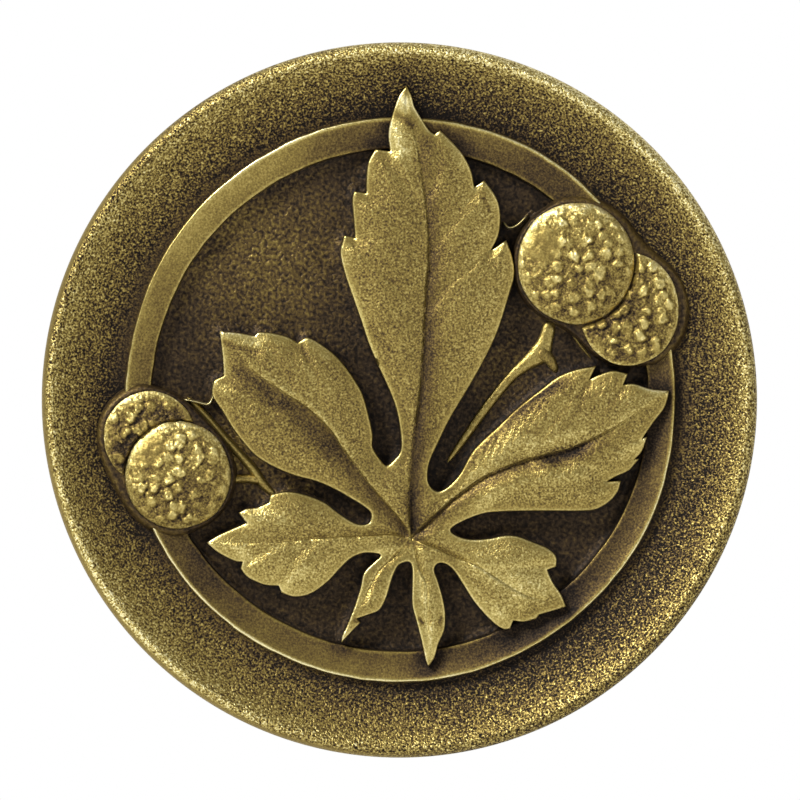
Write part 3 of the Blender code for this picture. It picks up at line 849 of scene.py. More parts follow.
LEAF_FINISH = BrassFinish("sanded_brass", grain_size=0.000100, grain_tone=1.05, grain_height=0.000034,
                          grain_detail=1.5, patch_size=0.0016, patch_tone=0.08)
BALL_FINISH = BrassFinish("studded_brass", grain_size=0.000100, grain_tone=0.90, grain_height=0.000030,
                          grain_detail=1.5, patch_size=0.0010, patch_tone=0.10, bright_roughness=0.46)
RING_FINISH = BrassFinish("satin_brass", grain_size=0.000100, grain_tone=0.55, grain_height=0.000014,
                          patch_size=0.0014, patch_tone=0.18)
BORDER_FINISH = BrassFinish("pebbled_brass", grain_size=0.000098, grain_tone=1.30,
                            grain_height=0.000050, grain_detail=0.4, grain_twist=0.5, patch_size=0.0028,
                            patch_tone=0.05, bright_roughness=0.46)
GROUND_FINISH = BrassFinish("darkened_brass", grain_size=0.000170, grain_tone=0.80,
                            grain_height=0.000080, grain_detail=0.8, grain_twist=0.4, patch_size=0.0012,
                            patch_tone=0.14, dark_roughness=0.55)
TURNED_FINISH = BrassFinish("turned_brass", grain_size=0.0002, grain_tone=0.16, grain_height=0.000006,
                            patch_size=0.0040, patch_tone=0.14, stretch=(0.12, 1.0, 0.12))


def make_piece(name: str, surface: Surface, finish: BrassFinish) -> None:
    """Makes a piece of the knob, smooth shaded and dressed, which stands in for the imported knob.

    Args:
        name: The piece's name.
        surface: Its closed surface.
        finish: What it is dressed in.
    """
    mesh = bpy.data.meshes.new(name)
    corners = np.concatenate([surface.quads.ravel(), surface.triangles.ravel()])
    sizes = np.repeat([4, 3], [len(surface.quads), len(surface.triangles)])
    mesh.vertices.add(len(surface.points))
    mesh.vertices.foreach_set("co", surface.points.ravel().astype(np.float32))
    mesh.loops.add(len(corners))
    mesh.loops.foreach_set("vertex_index", corners.astype(np.int32))
    mesh.polygons.add(len(sizes))
    mesh.polygons.foreach_set("loop_start", (np.cumsum(sizes) - sizes).astype(np.int32))
    mesh.update(calc_edges=True)
    mesh.validate()
    for title, painted in (("tone", surface.tone), ("grit", surface.grit)):
        layer = mesh.attributes.new(title, "FLOAT", "POINT")
        layer.data.foreach_set("value", painted.astype(np.float32))
    mesh.shade_smooth()
    material = bpy.data.materials.get(finish.name) or finish.material()
    mesh.materials.append(material)
    piece = bpy.data.objects.new(name, mesh)
    bpy.context.scene.collection.objects.link(piece)
    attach(piece, BODY)
    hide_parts(NODE)
    LOG.info("%s: %d faces", name, len(sizes))


@dataclass
class TurnedBody:
    """The side of the rim, the trumpet stem and the foot, turned as one."""

    neck_radius: float = 0.0055
    neck_length: float = 0.0015
    foot_radius: float = 0.00775
    foot_thickness: float = 0.0016
    foot_edge: float = 0.0003
    foot_flare: float = 0.0049
    hole_radius: float = 0.0021
    hole_depth: float = 0.0120
    hole_lead_in: float = 0.0006
    drill_half_angle: float = radians(59)
    rim_lower_rounding: float = 0.0010
    side_inset: float = 0.00002
    side_length: float = 0.0020
    cover: float = 0.00035
    columns: int = 240
    row_spacing: float = 0.0003
    base_tone: float = 0.36
    edge_tone: float = 0.16
    rim_tone: float = 0.10
    rubbed_reach: float = 0.0005
    # Painted shade round the narrow neck, under the head
    neck_shade_tone: float = -0.06
    neck_shade_reach: float = 0.0015
    hole_tone: float = 0.24

    def flare(self, outer: Point, inner: Point, steps: int) -> list[Point]:
        """A hollow quarter ellipse.

        Args:
            outer: Radius and height of its wide end.
            inner: Radius and height of its narrow end.
            steps: How many straight steps stand for it.

        Returns:
            Its points from the wide end to the narrow end.
        """
        turn = pi / 2 * (1 - np.arange(steps + 1) / steps)
        across = outer[0] - (outer[0] - inner[0]) * np.cos(turn)
        return list(zip(across, inner[1] + (outer[1] - inner[1]) * np.sin(turn)))

    def profile(self) -> Array:
        """The outline of half the body, from inside the head, round the rim and down into the hole.

        Returns:
            Rows of radius and height.
        """
        side = HEAD_RADIUS - self.side_inset
        rounding = self.rim_lower_rounding
        underside = PROJECTION - RIM_THICKNESS
        inside = GROUND_LEVEL - self.cover
        points = [(0.001, inside), (RING_OUTER_RADIUS, inside), (side - 0.0012, underside + 0.0014)]
        side_top = underside + self.side_length
        points += [(side - 0.0002, side_top + 0.0001), (side, side_top)]
        turn = pi / 2 * np.arange(9) / 8
        points += list(zip(side - rounding * (1 - np.cos(turn)), underside + rounding * (1 - np.sin(turn))))
        neck_low = self.foot_thickness + self.foot_flare
        foot_top = (self.foot_radius - self.foot_edge, self.foot_thickness)
        points += self.flare(points[-1], (self.neck_radius, neck_low + self.neck_length), 28)[1:]
        points += self.flare(foot_top, (self.neck_radius, neck_low), 20)[::-1]
        turn = pi / 2 * np.arange(5) / 4
        edge = self.foot_radius - self.foot_edge
        points += list(zip(edge + self.foot_edge * np.sin(turn),
                           self.foot_thickness - self.foot_edge * (1 - np.cos(turn))))[1:]
        points += list(zip(edge + self.foot_edge * np.cos(turn),
                           self.foot_edge * (1 - np.sin(turn))))
        points += [(self.hole_radius + self.hole_lead_in, 0.0), (self.hole_radius, self.hole_lead_in),
                   (self.hole_radius, self.hole_depth),
                   (0.0004, self.hole_depth + self.hole_radius / tan(self.drill_half_angle))]
        return finer(points, self.row_spacing)

    def build(self) -> None:
        """Makes the body, rubbed along the edges of the foot, with painted shade round the neck, and dark
        inside the hole.
        """
        profile = self.profile()
        radius, height = profile.T
        foot_edge = np.hypot(radius - self.foot_radius, np.minimum(height, self.foot_thickness - height))
        rim_edge = np.hypot(radius - HEAD_RADIUS + 0.0003, height - PROJECTION + RIM_THICKNESS - 0.0003)
        tone = self.base_tone + self.edge_tone * bell(foot_edge, self.rubbed_reach)
        tone = tone + self.rim_tone * bell(rim_edge, self.rubbed_reach)
        # painted shade round the neck
        tone = tone + self.neck_shade_tone * bell(radius - self.neck_radius, self.neck_shade_reach)
        tone = np.where(radius < self.hole_radius + self.hole_lead_in / 2, self.hole_tone, tone)
        surface = turned_surface(profile, self.columns, tone, np.ones_like(tone), False)
        make_piece("turned_body", surface, TURNED_FINISH)


@dataclass
class ScrewThread:
    """The thread cut in the hole of the foot, for a machine screw."""

    minor_radius: float = 0.001725
    major_radius: float = 0.0020
    sleeve_radius: float = 0.0024
    pitch: float = 0.0007
    start: float = 0.0006
    length: float = 0.0112
    crest_tone: float = 0.42
    # The grooves between the thread's crests are painted in shade
    groove_shade_tone: float = 0.24
    grit: float = 0.6
    columns: int = 72
    rows: int = 260

    def build(self) -> None:
        """Makes the thread.

        The radius goes from the minor to the major one and back as the height, less the pitch for
        each turn of the angle, runs through one pitch.
        """
        angle = round_angles(self.columns)
        height = (self.start + self.length * np.arange(self.rows) / (self.rows - 1))[:, None]
        phase = (height / self.pitch - angle / (2 * pi)) % 1
        tooth = np.clip(1.6 * np.abs(2 * phase - 1) - 0.3, 0, 1)
        taper = step_up(height, self.start, self.start + self.pitch)
        radius = self.minor_radius + (self.major_radius - self.minor_radius) * np.maximum(tooth, 1 - taper)
        outer = np.full((1, self.columns), self.sleeve_radius)
        radius = np.vstack([radius, outer, outer])
        height = np.vstack([height, [[self.start + self.length]], [[self.start]]])
        # painted shade in the grooves, lighter crests
        tone = np.where(radius < self.minor_radius + 0.0001, self.crest_tone, self.groove_shade_tone)
        surface = wrapped_surface(radius * np.cos(angle), radius * np.sin(angle),
                                  height + 0 * angle, tone, 0 * tone + self.grit, True)
        make_piece("screw_thread", surface, TURNED_FINISH)


@dataclass
class Border:
    """The dished and pebbled border, from the groove outside the ring over the rolled rim."""

    start_radius: float = RING_OUTER_RADIUS - 0.0004
    groove_width: float = 0.00020
    depth: float = 0.00135
    bow: float = 1.6
    rim_rounding: float = 0.0007
    crest_inset: float = 0.0005
    side_drop: float = 0.0006
    columns: int = 1200
    row_spacing: float = 0.00010
    radii: tuple[float, ...] = (0.01365, 0.01378, 0.01392, 0.01404, 0.0143, 0.0150, 0.0160, 0.0166,
                                0.0170, 0.01735)
    tones: tuple[float, ...] = (0.18, 0.12, 0.21, 0.14, 0.18, 0.27, 0.36, 0.46, 0.56, 0.52)
    # Wear and painted shading of the dish, round the turn
    wear_and_shading_tones: tuple[float, ...] = (-0.05, -0.02, -0.04, -0.03, -0.04, -0.02, 0.03, 0.05, 0.04, 0.01,
                                     0.0, 0.07, 0.07, 0.01, -0.04, -0.09, -0.11, -0.09)
    # Painted highlight and shade on the rolled rim, round the turn, lit from the upper left
    rim_light_and_shade_tones: tuple[float, ...] = (0.0, 0.03, 0.20, 0.20, 0.18, 0.06, -0.04, -0.14, -0.12, -0.02, 0.16,
                                    0.20, 0.08, -0.08, -0.12, -0.14, -0.16, -0.08)
    # Painted shade, with patina, round the leaf and the balls
    shade_halo_tone: float = 0.12
    shade_halo_reach: float = 0.0011
    # Painted light in the groove at the right
    groove_light_tone: float = 0.12
    groove_light_radius: float = 0.0141
    groove_light_reach: float = 0.0006
    side_tone: float = 0.36
    # A smooth sliver on the rim's side, painted lighter on the left where the light falls
    lit_sliver_tone: float = 0.48
    sliver_turn: float = radians(200)
    rolled_radii: Point = (0.0167, 0.0171)
    sliver_radii: Point = (0.01724, 0.01732)
    least_grit: float = 0.35
    rim_grit: float = 0.25
    smooth_share: float = 0.9

    def profile(self) -> Array:
        """The section from the groove to the rim's side, and back underneath.

        The dish rises with the share of its width, to the power of its bow.

        Returns:
            Rows of radius and height.
        """
        foot = RING_OUTER_RADIUS + self.groove_width
        share = np.arange(41) / 41
        rise = self.depth * share**self.bow
        dish = list(zip(foot + (CREST_RADIUS - foot) * share, GROOVE_LEVEL + rise))
        turn = pi / 2 * np.arange(11) / 10
        roll = list(zip(CREST_RADIUS + self.crest_inset * np.sin(turn),
                        PROJECTION - self.rim_rounding * (1 - np.cos(turn))))
        bottom = PROJECTION - self.rim_rounding - self.side_drop
        points = [(self.start_radius, GROOVE_LEVEL - 0.0003), (self.start_radius, GROOVE_LEVEL)]
        points += dish + roll + [(HEAD_RADIUS, bottom + 0.0002), (HEAD_RADIUS - 0.000006, bottom + 0.0001),
                                 (HEAD_RADIUS - 0.00004, bottom), (HEAD_RADIUS - 0.0003, bottom - 0.0001)]
        return finer(points, self.row_spacing)

    def halo(self, across: Array, up: Array) -> Array:
        """How much darker the border is round the leaf and the balls, as painted shade with patina.

        Two bell curves are added, of the distance to the leaf's outline and to the nearest ball.

        Args:
            across: Place across the face for each row and column.
            up: Place up the face.

        Returns:
            What the tone loses at each place.
        """
        balls = np.min([np.hypot(across - x, up - y) - ball.size * PICTURE_SCALE
                        for ball in SEED_BALLS for x, y in on_face([ball.centre])], axis=0)
        leaf = self.shade_halo_tone * bell(gap_to_leaf(across, up), self.shade_halo_reach)
        return leaf + self.shade_halo_tone * bell(np.maximum(balls, 0), self.shade_halo_reach)

    def build(self) -> None:
        """Makes the border, dark beside the ring and brighter and more rubbed towards the rim.

        The tone follows the distance from the axis, with a dark band of painted shade and patina round the
        leaf and the balls. Two lists of tones, for equal turns from the right, anticlockwise, tell how the
        dish is worn and shaded and where painted light and shade lie on the rolled rim. The groove is
        painted lighter at the right, and at the left a smooth grey sliver, painted lighter where the light
        falls, runs outside the rim's pebbles.
        """
        profile = self.profile()
        angle = round_angles(self.columns)
        radius, height = profile[:, :1] + 0 * angle, profile[:, 1:] + 0 * angle
        across, up = radius * np.cos(angle), radius * np.sin(angle)
        rolled = step_up(radius, *self.rolled_radii)
        # painted light in the groove at the right
        pale = self.groove_light_tone * bell(radius - self.groove_light_radius, self.groove_light_reach)
        tone = np.interp(radius, self.radii, self.tones) + pale * step_up(np.cos(angle), 0.4, 0.9)
        # painted shade and patina round the leaf and the balls
        tone = tone - self.halo(across, up) * (radius < CREST_RADIUS)
        # wear and painted shading on the dish, painted highlight and shade on the rolled rim
        tone = tone + round_the_turn(angle, self.wear_and_shading_tones) * (1 - rolled)
        tone = tone + round_the_turn(angle, self.rim_light_and_shade_tones) * rolled
        smooth_side = step_up(PROJECTION - height, self.rim_rounding - 0.0002, self.rim_rounding)
        smooth_side = np.where(radius > CREST_RADIUS, smooth_side, 0.0)
        tone = tone * (1 - smooth_side) + self.side_tone * smooth_side
        # painted light on the rim's left side
        sliver = step_up(radius, *self.sliver_radii) * step_up(np.cos(angle - self.sliver_turn), 0.1, 0.6)
        tone = tone * (1 - sliver) + self.lit_sliver_tone * sliver
        grit = np.clip(self.least_grit + (radius - 0.0137) / 0.0012, self.least_grit, 1.0)
        grit = grit + self.rim_grit * bell(radius - CREST_RADIUS, 0.0003)
        grit *= (1 - self.smooth_share * smooth_side) * (1 - self.smooth_share * sliver)
        make_piece("border", wrapped_surface(across, up, height, tone, grit, True), BORDER_FINISH)


@dataclass
class Ring:
    """The raised ring round the sunk ground, falling inwards from a worn outer crest that carries a painted
    highlight.
    """

    inward_fall: float = 0.00030
    edge: float = 0.00007
    hollow: float = 0.00006
    draft: float = 0.00007
    wander: float = 0.000022
    columns: int = 1440
    inner_share: float = 0.4
    outward: tuple[float, ...] = (-2.9, -0.1, 2.8, 5.6, 4.2, 3.4, 1.0, -1.2, -3.9, -4.4, -1.8, 1.8, 3.0,
                                  3.4, 3.4, 1.4, 0.8, -0.8)
    upper_shares: tuple[float, ...] = (0, 0.15, 1)
    upper_tones: tuple[float, ...] = (0.50, 0.37, 0.30)
    # The walls are painted in shade, and the outer crest and the inner edge carry painted highlights
    outer_tones: tuple[float, ...] = (0.1, 0.1, 0.16, 0.85, 0.98, 0.88)
    inner_tones: tuple[float, ...] = (0.44, 0.50, 0.24, 0.08)
    # Wear, and painted shadows of the balls and the leaf, on the upper side round the turn
    wear_and_shading_tones: tuple[float, ...] = (-0.07, -0.02, -0.09, -0.11, 0.06, -0.03, 0.15, 0.16, 0.09, 0.0,
                                     -0.01, -0.11, 0.02, 0.03, -0.03, -0.20, -0.10, -0.06)
    # How bright the crest's painted highlight is round the turn
    crest_highlight_tones: tuple[float, ...] = (-0.16, 0.0, 0.0, 0.08, -0.14, -0.10, -0.08, -0.44, -0.42, -0.1,
                                      0.0, 0.14, 0.12, -0.04, -0.02, 0.04, 0.0, 0.04)
    leaf_shade: float = 0.22
    shade_reach: float = 0.0006
    least_tone: float = 0.1

    def profile(self) -> tuple[Array, Array]:
        """The section and its tones, up the outer wall, over the crest and down the inner wall.

        The upper side falls in a straight line from the outer crest to the inner edge, less a shallow
        hollow that is deepest half way.

        Returns:
            Rows of radius and height, and a tone for each row.
        """
        outer, inner = RING_OUTER_RADIUS, RING_INNER_RADIUS
        share = np.arange(1, 12) / 12
        top = list(zip(outer - self.edge - (outer - inner - 2 * self.edge) * share,
                       RING_LEVEL - self.inward_fall * share - self.hollow * np.sin(pi * share)))
        inner_level = RING_LEVEL - self.inward_fall
        points = [(inner - 0.0001, RELIEF_BOTTOM), (outer + 0.0001, RELIEF_BOTTOM),
                  (outer + self.draft, GROOVE_LEVEL - 0.0001), (outer + 0.00001, RING_LEVEL - self.edge),
                  (outer - 0.00002, RING_LEVEL - 0.00002), (outer - self.edge, RING_LEVEL), *top,
                  (inner + self.edge, inner_level), (inner + 0.00002, inner_level - 0.00002),
                  (inner, inner_level - self.edge), (inner - self.draft, GROUND_LEVEL - 0.0001)]
        upper = np.interp(share, self.upper_shares, self.upper_tones)
        return np.array(points), np.array([*self.outer_tones, *upper, *self.inner_tones])

    def build(self) -> None:
        """Makes the ring.

        The cast ring isn't a true circle: a list of shifts outwards, in the picture's dots for equal
        turns from the right, anticlockwise, is carried round it as the smoothest periodic curve through
        them, and the inner edge takes only a share of it. Two more such lists tell how the upper side is
        worn and where painted shadows fall on it, and how bright the crest's painted highlight is.
        """
        outer, inner = RING_OUTER_RADIUS, RING_INNER_RADIUS
        profile, tone = self.profile()
        radius, height = profile[:, :1], profile[:, 1:]
        angle = round_angles(self.columns)
        wobble = self.wander * soft_noise(angle * outer + 0 * radius, radius * 6, 0.0006, 3)
        curve = np.fft.irfft(np.fft.rfft(self.outward), self.columns)
        shift = curve * self.columns / len(self.outward) * PICTURE_SCALE
        outer_share = np.clip((radius - inner) / (outer - inner), 0, 1)
        on_crest = (np.hypot(radius - outer, height - RING_LEVEL) < 0.0001).astype(float)
        radius = radius + wobble + shift * (self.inner_share + (1 - self.inner_share) * outer_share)
        across, up = radius * np.cos(angle), radius * np.sin(angle)
        # wear and painted shadows, and the crest's painted highlight
        worn = round_the_turn(angle, self.wear_and_shading_tones) + round_the_turn(angle, self.crest_highlight_tones) * on_crest
        shade = self.leaf_shade * bell(gap_to_leaf(across, up), self.shade_reach)
        painted = np.maximum(tone[:, None] + worn - shade, self.least_tone)
        surface = wrapped_surface(across, up, height + 0 * angle, painted, 0 * painted + 1, True)
        make_piece("ring", surface, RING_FINISH)


@dataclass
class Ground:
    """The sunk, blackened ground inside the ring."""

    cove: float = 0.00022
    cove_reach: float = 0.00022
    thickness: float = 0.0003
    columns: int = 620
    rows: int = 118
    buffed_spots: tuple[Point, ...] = ((262, 262), (236, 452), (500, 366), (296, 484))
    buffed_reaches: tuple[float, ...] = (0.0044, 0.0018, 0.0022, 0.0012)
    buffed_shares: tuple[float, ...] = (1.0, 1.1, 0.45, 0.6)
    wave_height: float = 0.00003
    wave_size: float = 0.0009
    base_tone: float = 0.14
    buffed_tone: float = 0.17
    low_tone: float = 0.03
    # Painted shade where the ground meets the leaf and the ring
    edge_tone: float = -0.04
    edge_reach: float = 0.0003
    least_grit: float = 0.5

    def build(self) -> None:
        """Makes the ground, which rises in a cove against the leaf and the ring.

        The height is the ground's level plus low waves and the cove's height times an exponential of
        the distance to the leaf's outline or the ring, whichever is nearer. It is paler in a few
        buffed spots and a little towards its lower side, and carries painted shade close to the leaf
        and the ring.
        """
        angle = round_angles(self.columns)
        radius = (RING_INNER_RADIUS + 0.0004) * (np.arange(1, self.rows + 1) / self.rows)[:, None]
        across, up = radius * np.cos(angle), radius * np.sin(angle)
        gap = np.minimum(gap_to_leaf(across, up), np.abs(RING_INNER_RADIUS - radius))
        height = GROUND_LEVEL + self.cove * np.exp(-gap / self.cove_reach)
        height = height + self.wave_height * soft_noise(across, up, self.wave_size, 11)
        spots = zip(on_face(self.buffed_spots), self.buffed_reaches, self.buffed_shares)
        buffed = np.sum([share * bell(np.hypot(across - x, up - y), reach)
                         for (x, y), reach, share in spots], axis=0)
        tone = self.base_tone + self.buffed_tone * buffed + self.low_tone * step_up(-up, 0.002, 0.008)
        # painted shade along the leaf and the ring
        tone = with_last_again(tone + self.edge_tone * bell(gap, self.edge_reach))
        across, up, buffed = with_last_again(across), with_last_again(up), with_last_again(buffed)
        height = np.vstack([height, np.full((1, self.columns), GROUND_LEVEL - self.thickness)])
        grit = self.least_grit + (1 - self.least_grit) * buffed
        surface = wrapped_surface(across, up, height, tone, grit, False)
        make_piece("ground", surface, GROUND_FINISH)


@dataclass
class Leaf:
    """The seven-lobed toothed leaf: crowned lobes with incised veins over a hollow hub."""

    crown: float = 0.00036
    crown_reach: float = 0.0020
    edge_drop: float = 0.00004
    edge_reach: float = 0.00005
    hub_depth: float = 0.00030
    hub_reach: float = 0.0017
    tip_drop: float = 0.00012
    side_depth: float = 0.00005
    side_reach: float = 0.00024
    valley_depth: float = 0.00012
    valley_reach: float = 0.0009
    feather_height: float = 0.000014
    feather_spacing: float = 0.00043
    feather_slant: float = 0.9
    spacing: float = 0.00009
    outline_spans: int = 5
    vein_spans: int = 6
    stroke_spans: int = 4
    wall_draft: float = 0.00004
    row_offsets: tuple[float, ...] = (0.00003, 0.00007, 0.00012, 0.00018)
    vein_offsets: tuple[float, ...] = (0.00003, 0.00008, 0.00014)
    lip_reach: float = 0.0004
    sharp_reach: float = 0.00006
    edge_place: float = 0.00004
    edge_width: float = 0.00006
    lip_place: float = 0.00011
    lip_width: float = 0.00009
    shine_place: float = 0.00007
    shine_width: float = 0.00006
    low_part: Point = (0.002, 0.009)
    right_part: Point = (0.0012, 0.0040)
    tip_part: Point = (0.0128, 0.0150)
    smooth_part: Point = (0.0125, 0.0150)
    lip_height: float = 0.00003
    base_tone: float = 0.455
    # Painted highlight along the rubbed edge of the leaf, stronger on the side towards the key light
    edge_tone: float = 0.20
    edge_lit: float = 0.07
    low_tone: float = 0.10
    right_tone: float = 0.05
    # Painted highlight on the lip beside each vein's sharp side
    tip_tone: float = 0.05
    vein_highlight_tone: float = 0.13
    # Painted light on one flank of each side vein and painted shade on the other
    side_tone: float = 0.03
    feather_tone: float = 0.022
    wave_height: float = 0.00003
    wave_size: float = 0.0008
    least_grit: float = 0.35
    tip_smooth: float = 0.45
    stain_smooth: float = 2.0
    wall_levels: tuple[float, ...] = (0.75, 0.35, 0.0, -1.0)
    # The leaf's walls are painted in shade, darker towards the ground
    wall_shade_tones: tuple[float, ...] = (0.26, 0.12, 0.08, 0.08)
    back_tone: float = 0.1
    back_grit: float = 0.5

    def __post_init__(self) -> None:
        """Works out the outline and the veins once."""
        self.outline = outline_of_leaf(self.outline_spans)
        self.outline_lines = (self.outline, np.roll(self.outline, -1, axis=0))
        self.inward = -self.outwards(self.outline)
        self.routes = [smooth_route(vein.route, self.vein_spans) for vein in MAIN_VEINS]

    @staticmethod
    def outwards(rim: Array) -> Array:
        """The direction out of the leaf at each corner, square to the line between its neighbours."""
        return square_to(np.roll(rim, -1, axis=0) - np.roll(rim, 1, axis=0))

    def even_rows(self) -> Array:
        """Staggered rows of places over the outline's box.

        Each row is half a step aside of the one before and the height of an even triangle over it.

        Returns:
            The places, row by row.
        """
        low, high = self.outline.min(axis=0), self.outline.max(axis=0)
        across = np.arange(low[0], high[0], self.spacing)
        up = np.arange(low[1], high[1], self.spacing * sin(pi / 3))
        stagger = self.spacing / 2 * (np.arange(len(up)) % 2)
        return np.column_stack([(across + stagger[:, None]).ravel(), np.repeat(up, len(across))])

    def beside_routes(self) -> Array:
        """Rows of places on both sides of each vein.

        Returns:
            The places, row by row.
        """
        rows = []
        for route in self.routes:
            square = square_to(np.gradient(route, axis=0))
            rows += [route + side * offset * square for offset in self.vein_offsets for side in (1, -1)]
        return np.vstack(rows)

    def inner_places(self) -> Array:
        """All places inside the outline: rows along its edge, rows along the veins and even rows.

        Returns:
            The places. None lies too near to the outline, and the even ones keep clear of the rest.
        """
        starts = np.vstack([route[:-1] for route in self.routes])
        stops = np.vstack([route[1:] for route in self.routes])
        edge_rows = []
        for offset in self.row_offsets:
            row = self.outline + offset * self.inward
            gap, _, _ = nearest_on_lines(row, *self.outline_lines)
            edge_rows.append(row[gap > offset * 0.9])
        even = self.even_rows()
        even = even[inside_outline(even, self.outline)]
        gap, _, _ = nearest_on_lines(even, *self.outline_lines)
        even = even[gap > self.row_offsets[-1] + self.spacing / 2]
        gap, _, _ = nearest_on_lines(even, starts, stops)
        even = even[gap > self.vein_offsets[-1] + self.spacing / 2]
        beside = self.beside_routes()
        gap, _, _ = nearest_on_lines(beside, *self.outline_lines)
        beside = beside[(gap > self.row_offsets[0]) & inside_outline(beside, self.outline)]
        return np.vstack([*edge_rows, beside, even])

    def form(self, places: Array) -> tuple[Array, Array, Array]:
        """Height, tone and grit of the leaf's upper side.

        A lobe's crown is a parabola over the distance to the outline, less a rounding at the very edge.
        Each main vein cuts in on a line: the soft side comes back up as an exponential and the sharp
        side as a narrow bell, beside a low lip with a painted highlight. The soft side is darkened by
        patina and painted shade. Waves slant away from the nearest main vein like the ribs of a feather.
        The side veins, the strokes and the hub add bell curves, and the leaf falls towards its tips with
        the square of the distance from the axis.

        Args:
            places: Places on the face.

        Returns:
            The three values at each place.
        """
        edge, _, line = nearest_on_lines(places, *self.outline_lines)
        lit = -self.inward[line.astype(int) % len(self.inward)] @ LIGHT_FROM
        hub = np.linalg.norm(places - on_face([LEAF_HUB]), axis=1)
        radius = np.linalg.norm(places, axis=1)
        rounded = np.clip(edge / self.crown_reach, 0, 1)
        height = LEAF_EDGE_LEVEL + self.crown * rounded * (2 - rounded)
        height -= self.edge_drop * (1 - np.clip(edge / self.edge_reach, 0, 1)) ** 2
        # painted highlight along the rubbed edge, stronger on the side towards the key light
        rubbed_edge_highlight = bell(edge - self.edge_place, self.edge_width)
        tone = self.base_tone + (self.edge_tone + self.edge_lit * lit) * rubbed_edge_highlight
        tone += self.low_tone * step_up(-places[:, 1], *self.low_part)
        tone += self.right_tone * step_up(places[:, 0], *self.right_part)
        lip = np.clip(edge / self.lip_reach, 0, 1)
        nearest = np.full(len(places), 1.0)
        feather, cuts, stain_and_shade = np.zeros((3, len(places)))
        for vein, route in zip(MAIN_VEINS, self.routes):
            gap, side, share = nearest_on_lines(places, route[:-1], route[1:])
            fade = (1 - (share / (len(route) - 1)) ** 2) * lip
            soft = side == vein.soft.value
            cut = np.where(soft, np.exp(-gap / vein.reach), bell(gap, self.sharp_reach))
            valley = self.valley_depth * bell(gap, self.valley_reach)
            cuts = np.maximum(cuts, fade * (vein.depth * cut + valley))
            lifted = bell(gap - self.lip_place, self.lip_width)
            height += self.lip_height * fade * np.where(soft, 0, lifted)
            # patina and painted shade on each vein's soft side, and a thin painted dark line on its sharp
            # side
            flank = np.where(soft, bell(gap, 1.6 * vein.reach), bell(gap, 0.00003))
            stain_and_shade = np.maximum(stain_and_shade, vein.stain_and_shade * fade * flank)
            # painted highlight on the lip of the sharp side
            shine = self.vein_highlight_tone * bell(gap - self.shine_place, self.shine_width)
            tone += fade * np.where(soft, 0, shine)
            travelled = np.concatenate([[0], np.cumsum(np.linalg.norm(np.diff(route, axis=0), axis=1))])
            along = np.interp(share, np.arange(len(route)), travelled)
            wave = np.sin(2 * pi * (along - self.feather_slant * gap) / self.feather_spacing
                          + 1.5 * soft_noise(*places.T, 0.0012, 31))
            feather = np.where(gap < nearest, wave * step_up(gap, 0.0002, 0.0008), feather)
            nearest = np.minimum(nearest, gap)
        broken = lip * (0.5 + 0.5 * soft_noise(*places.T, 0.0021, 37))
        height += self.feather_height * feather * broken - cuts
        tone += self.feather_tone * feather * broken - stain_and_shade
        for stroke in STROKES:
            route = smooth_route(stroke.route, self.stroke_spans)
            gap, _, _ = nearest_on_lines(places, route[:-1], route[1:])
            shape = bell(gap, stroke.reach * PICTURE_SCALE)
            height += stroke.height * shape * lip
            tone += stroke.tone * shape
        for points in SIDE_VEINS:
            route = smooth_route(points, self.stroke_spans)
            gap, side, _ = nearest_on_lines(places, route[:-1], route[1:])
            height -= self.side_depth * bell(gap, self.side_reach) * lip
            # painted light on one flank of the side vein and painted shade on the other
            tone += self.side_tone * side * bell(gap, self.side_reach)
        height -= self.hub_depth * bell(hub, self.hub_reach)
        height -= self.tip_drop * np.clip(radius / RING_INNER_RADIUS, 0, 1) ** 2 * rounded
        height += self.wave_height * soft_noise(*places.T, self.wave_size, 5) * lip
        tone += self.tip_tone * step_up(radius, *self.tip_part)
        grit = np.clip(self.least_grit + edge / 0.0008, 0, 1)
        grit *= 1 - self.tip_smooth * step_up(radius, *self.smooth_part)
        grit *= 1 - self.stain_smooth * stain_and_shade
        return height, tone, grit

    def upper_side(self) -> tuple[Array, Array]:
        """Joins the outline, the veins and the places between them in triangles.

        Returns:
            The places, first those of the outline in its own order, and the triangles' corners.
        """
        places = np.vstack([self.outline, *self.routes, self.inner_places()])
        first = np.cumsum([len(self.outline), *(len(route) for route in self.routes)])
        lines = [(index, (index + 1) % len(self.outline)) for index in range(len(self.outline))]
        for start, stop in zip(first, first[1:]):
            lines += [(index, index + 1) for index in range(start, stop - 1)]
        spots, _, faces, *_ = delaunay_2d_cdt([Vector(place) for place in places], lines, [], 0, 1e-6, False)
        places, faces = np.array(spots), np.array(faces)
        return places, faces[inside_outline(places[faces].mean(axis=1), self.outline)]

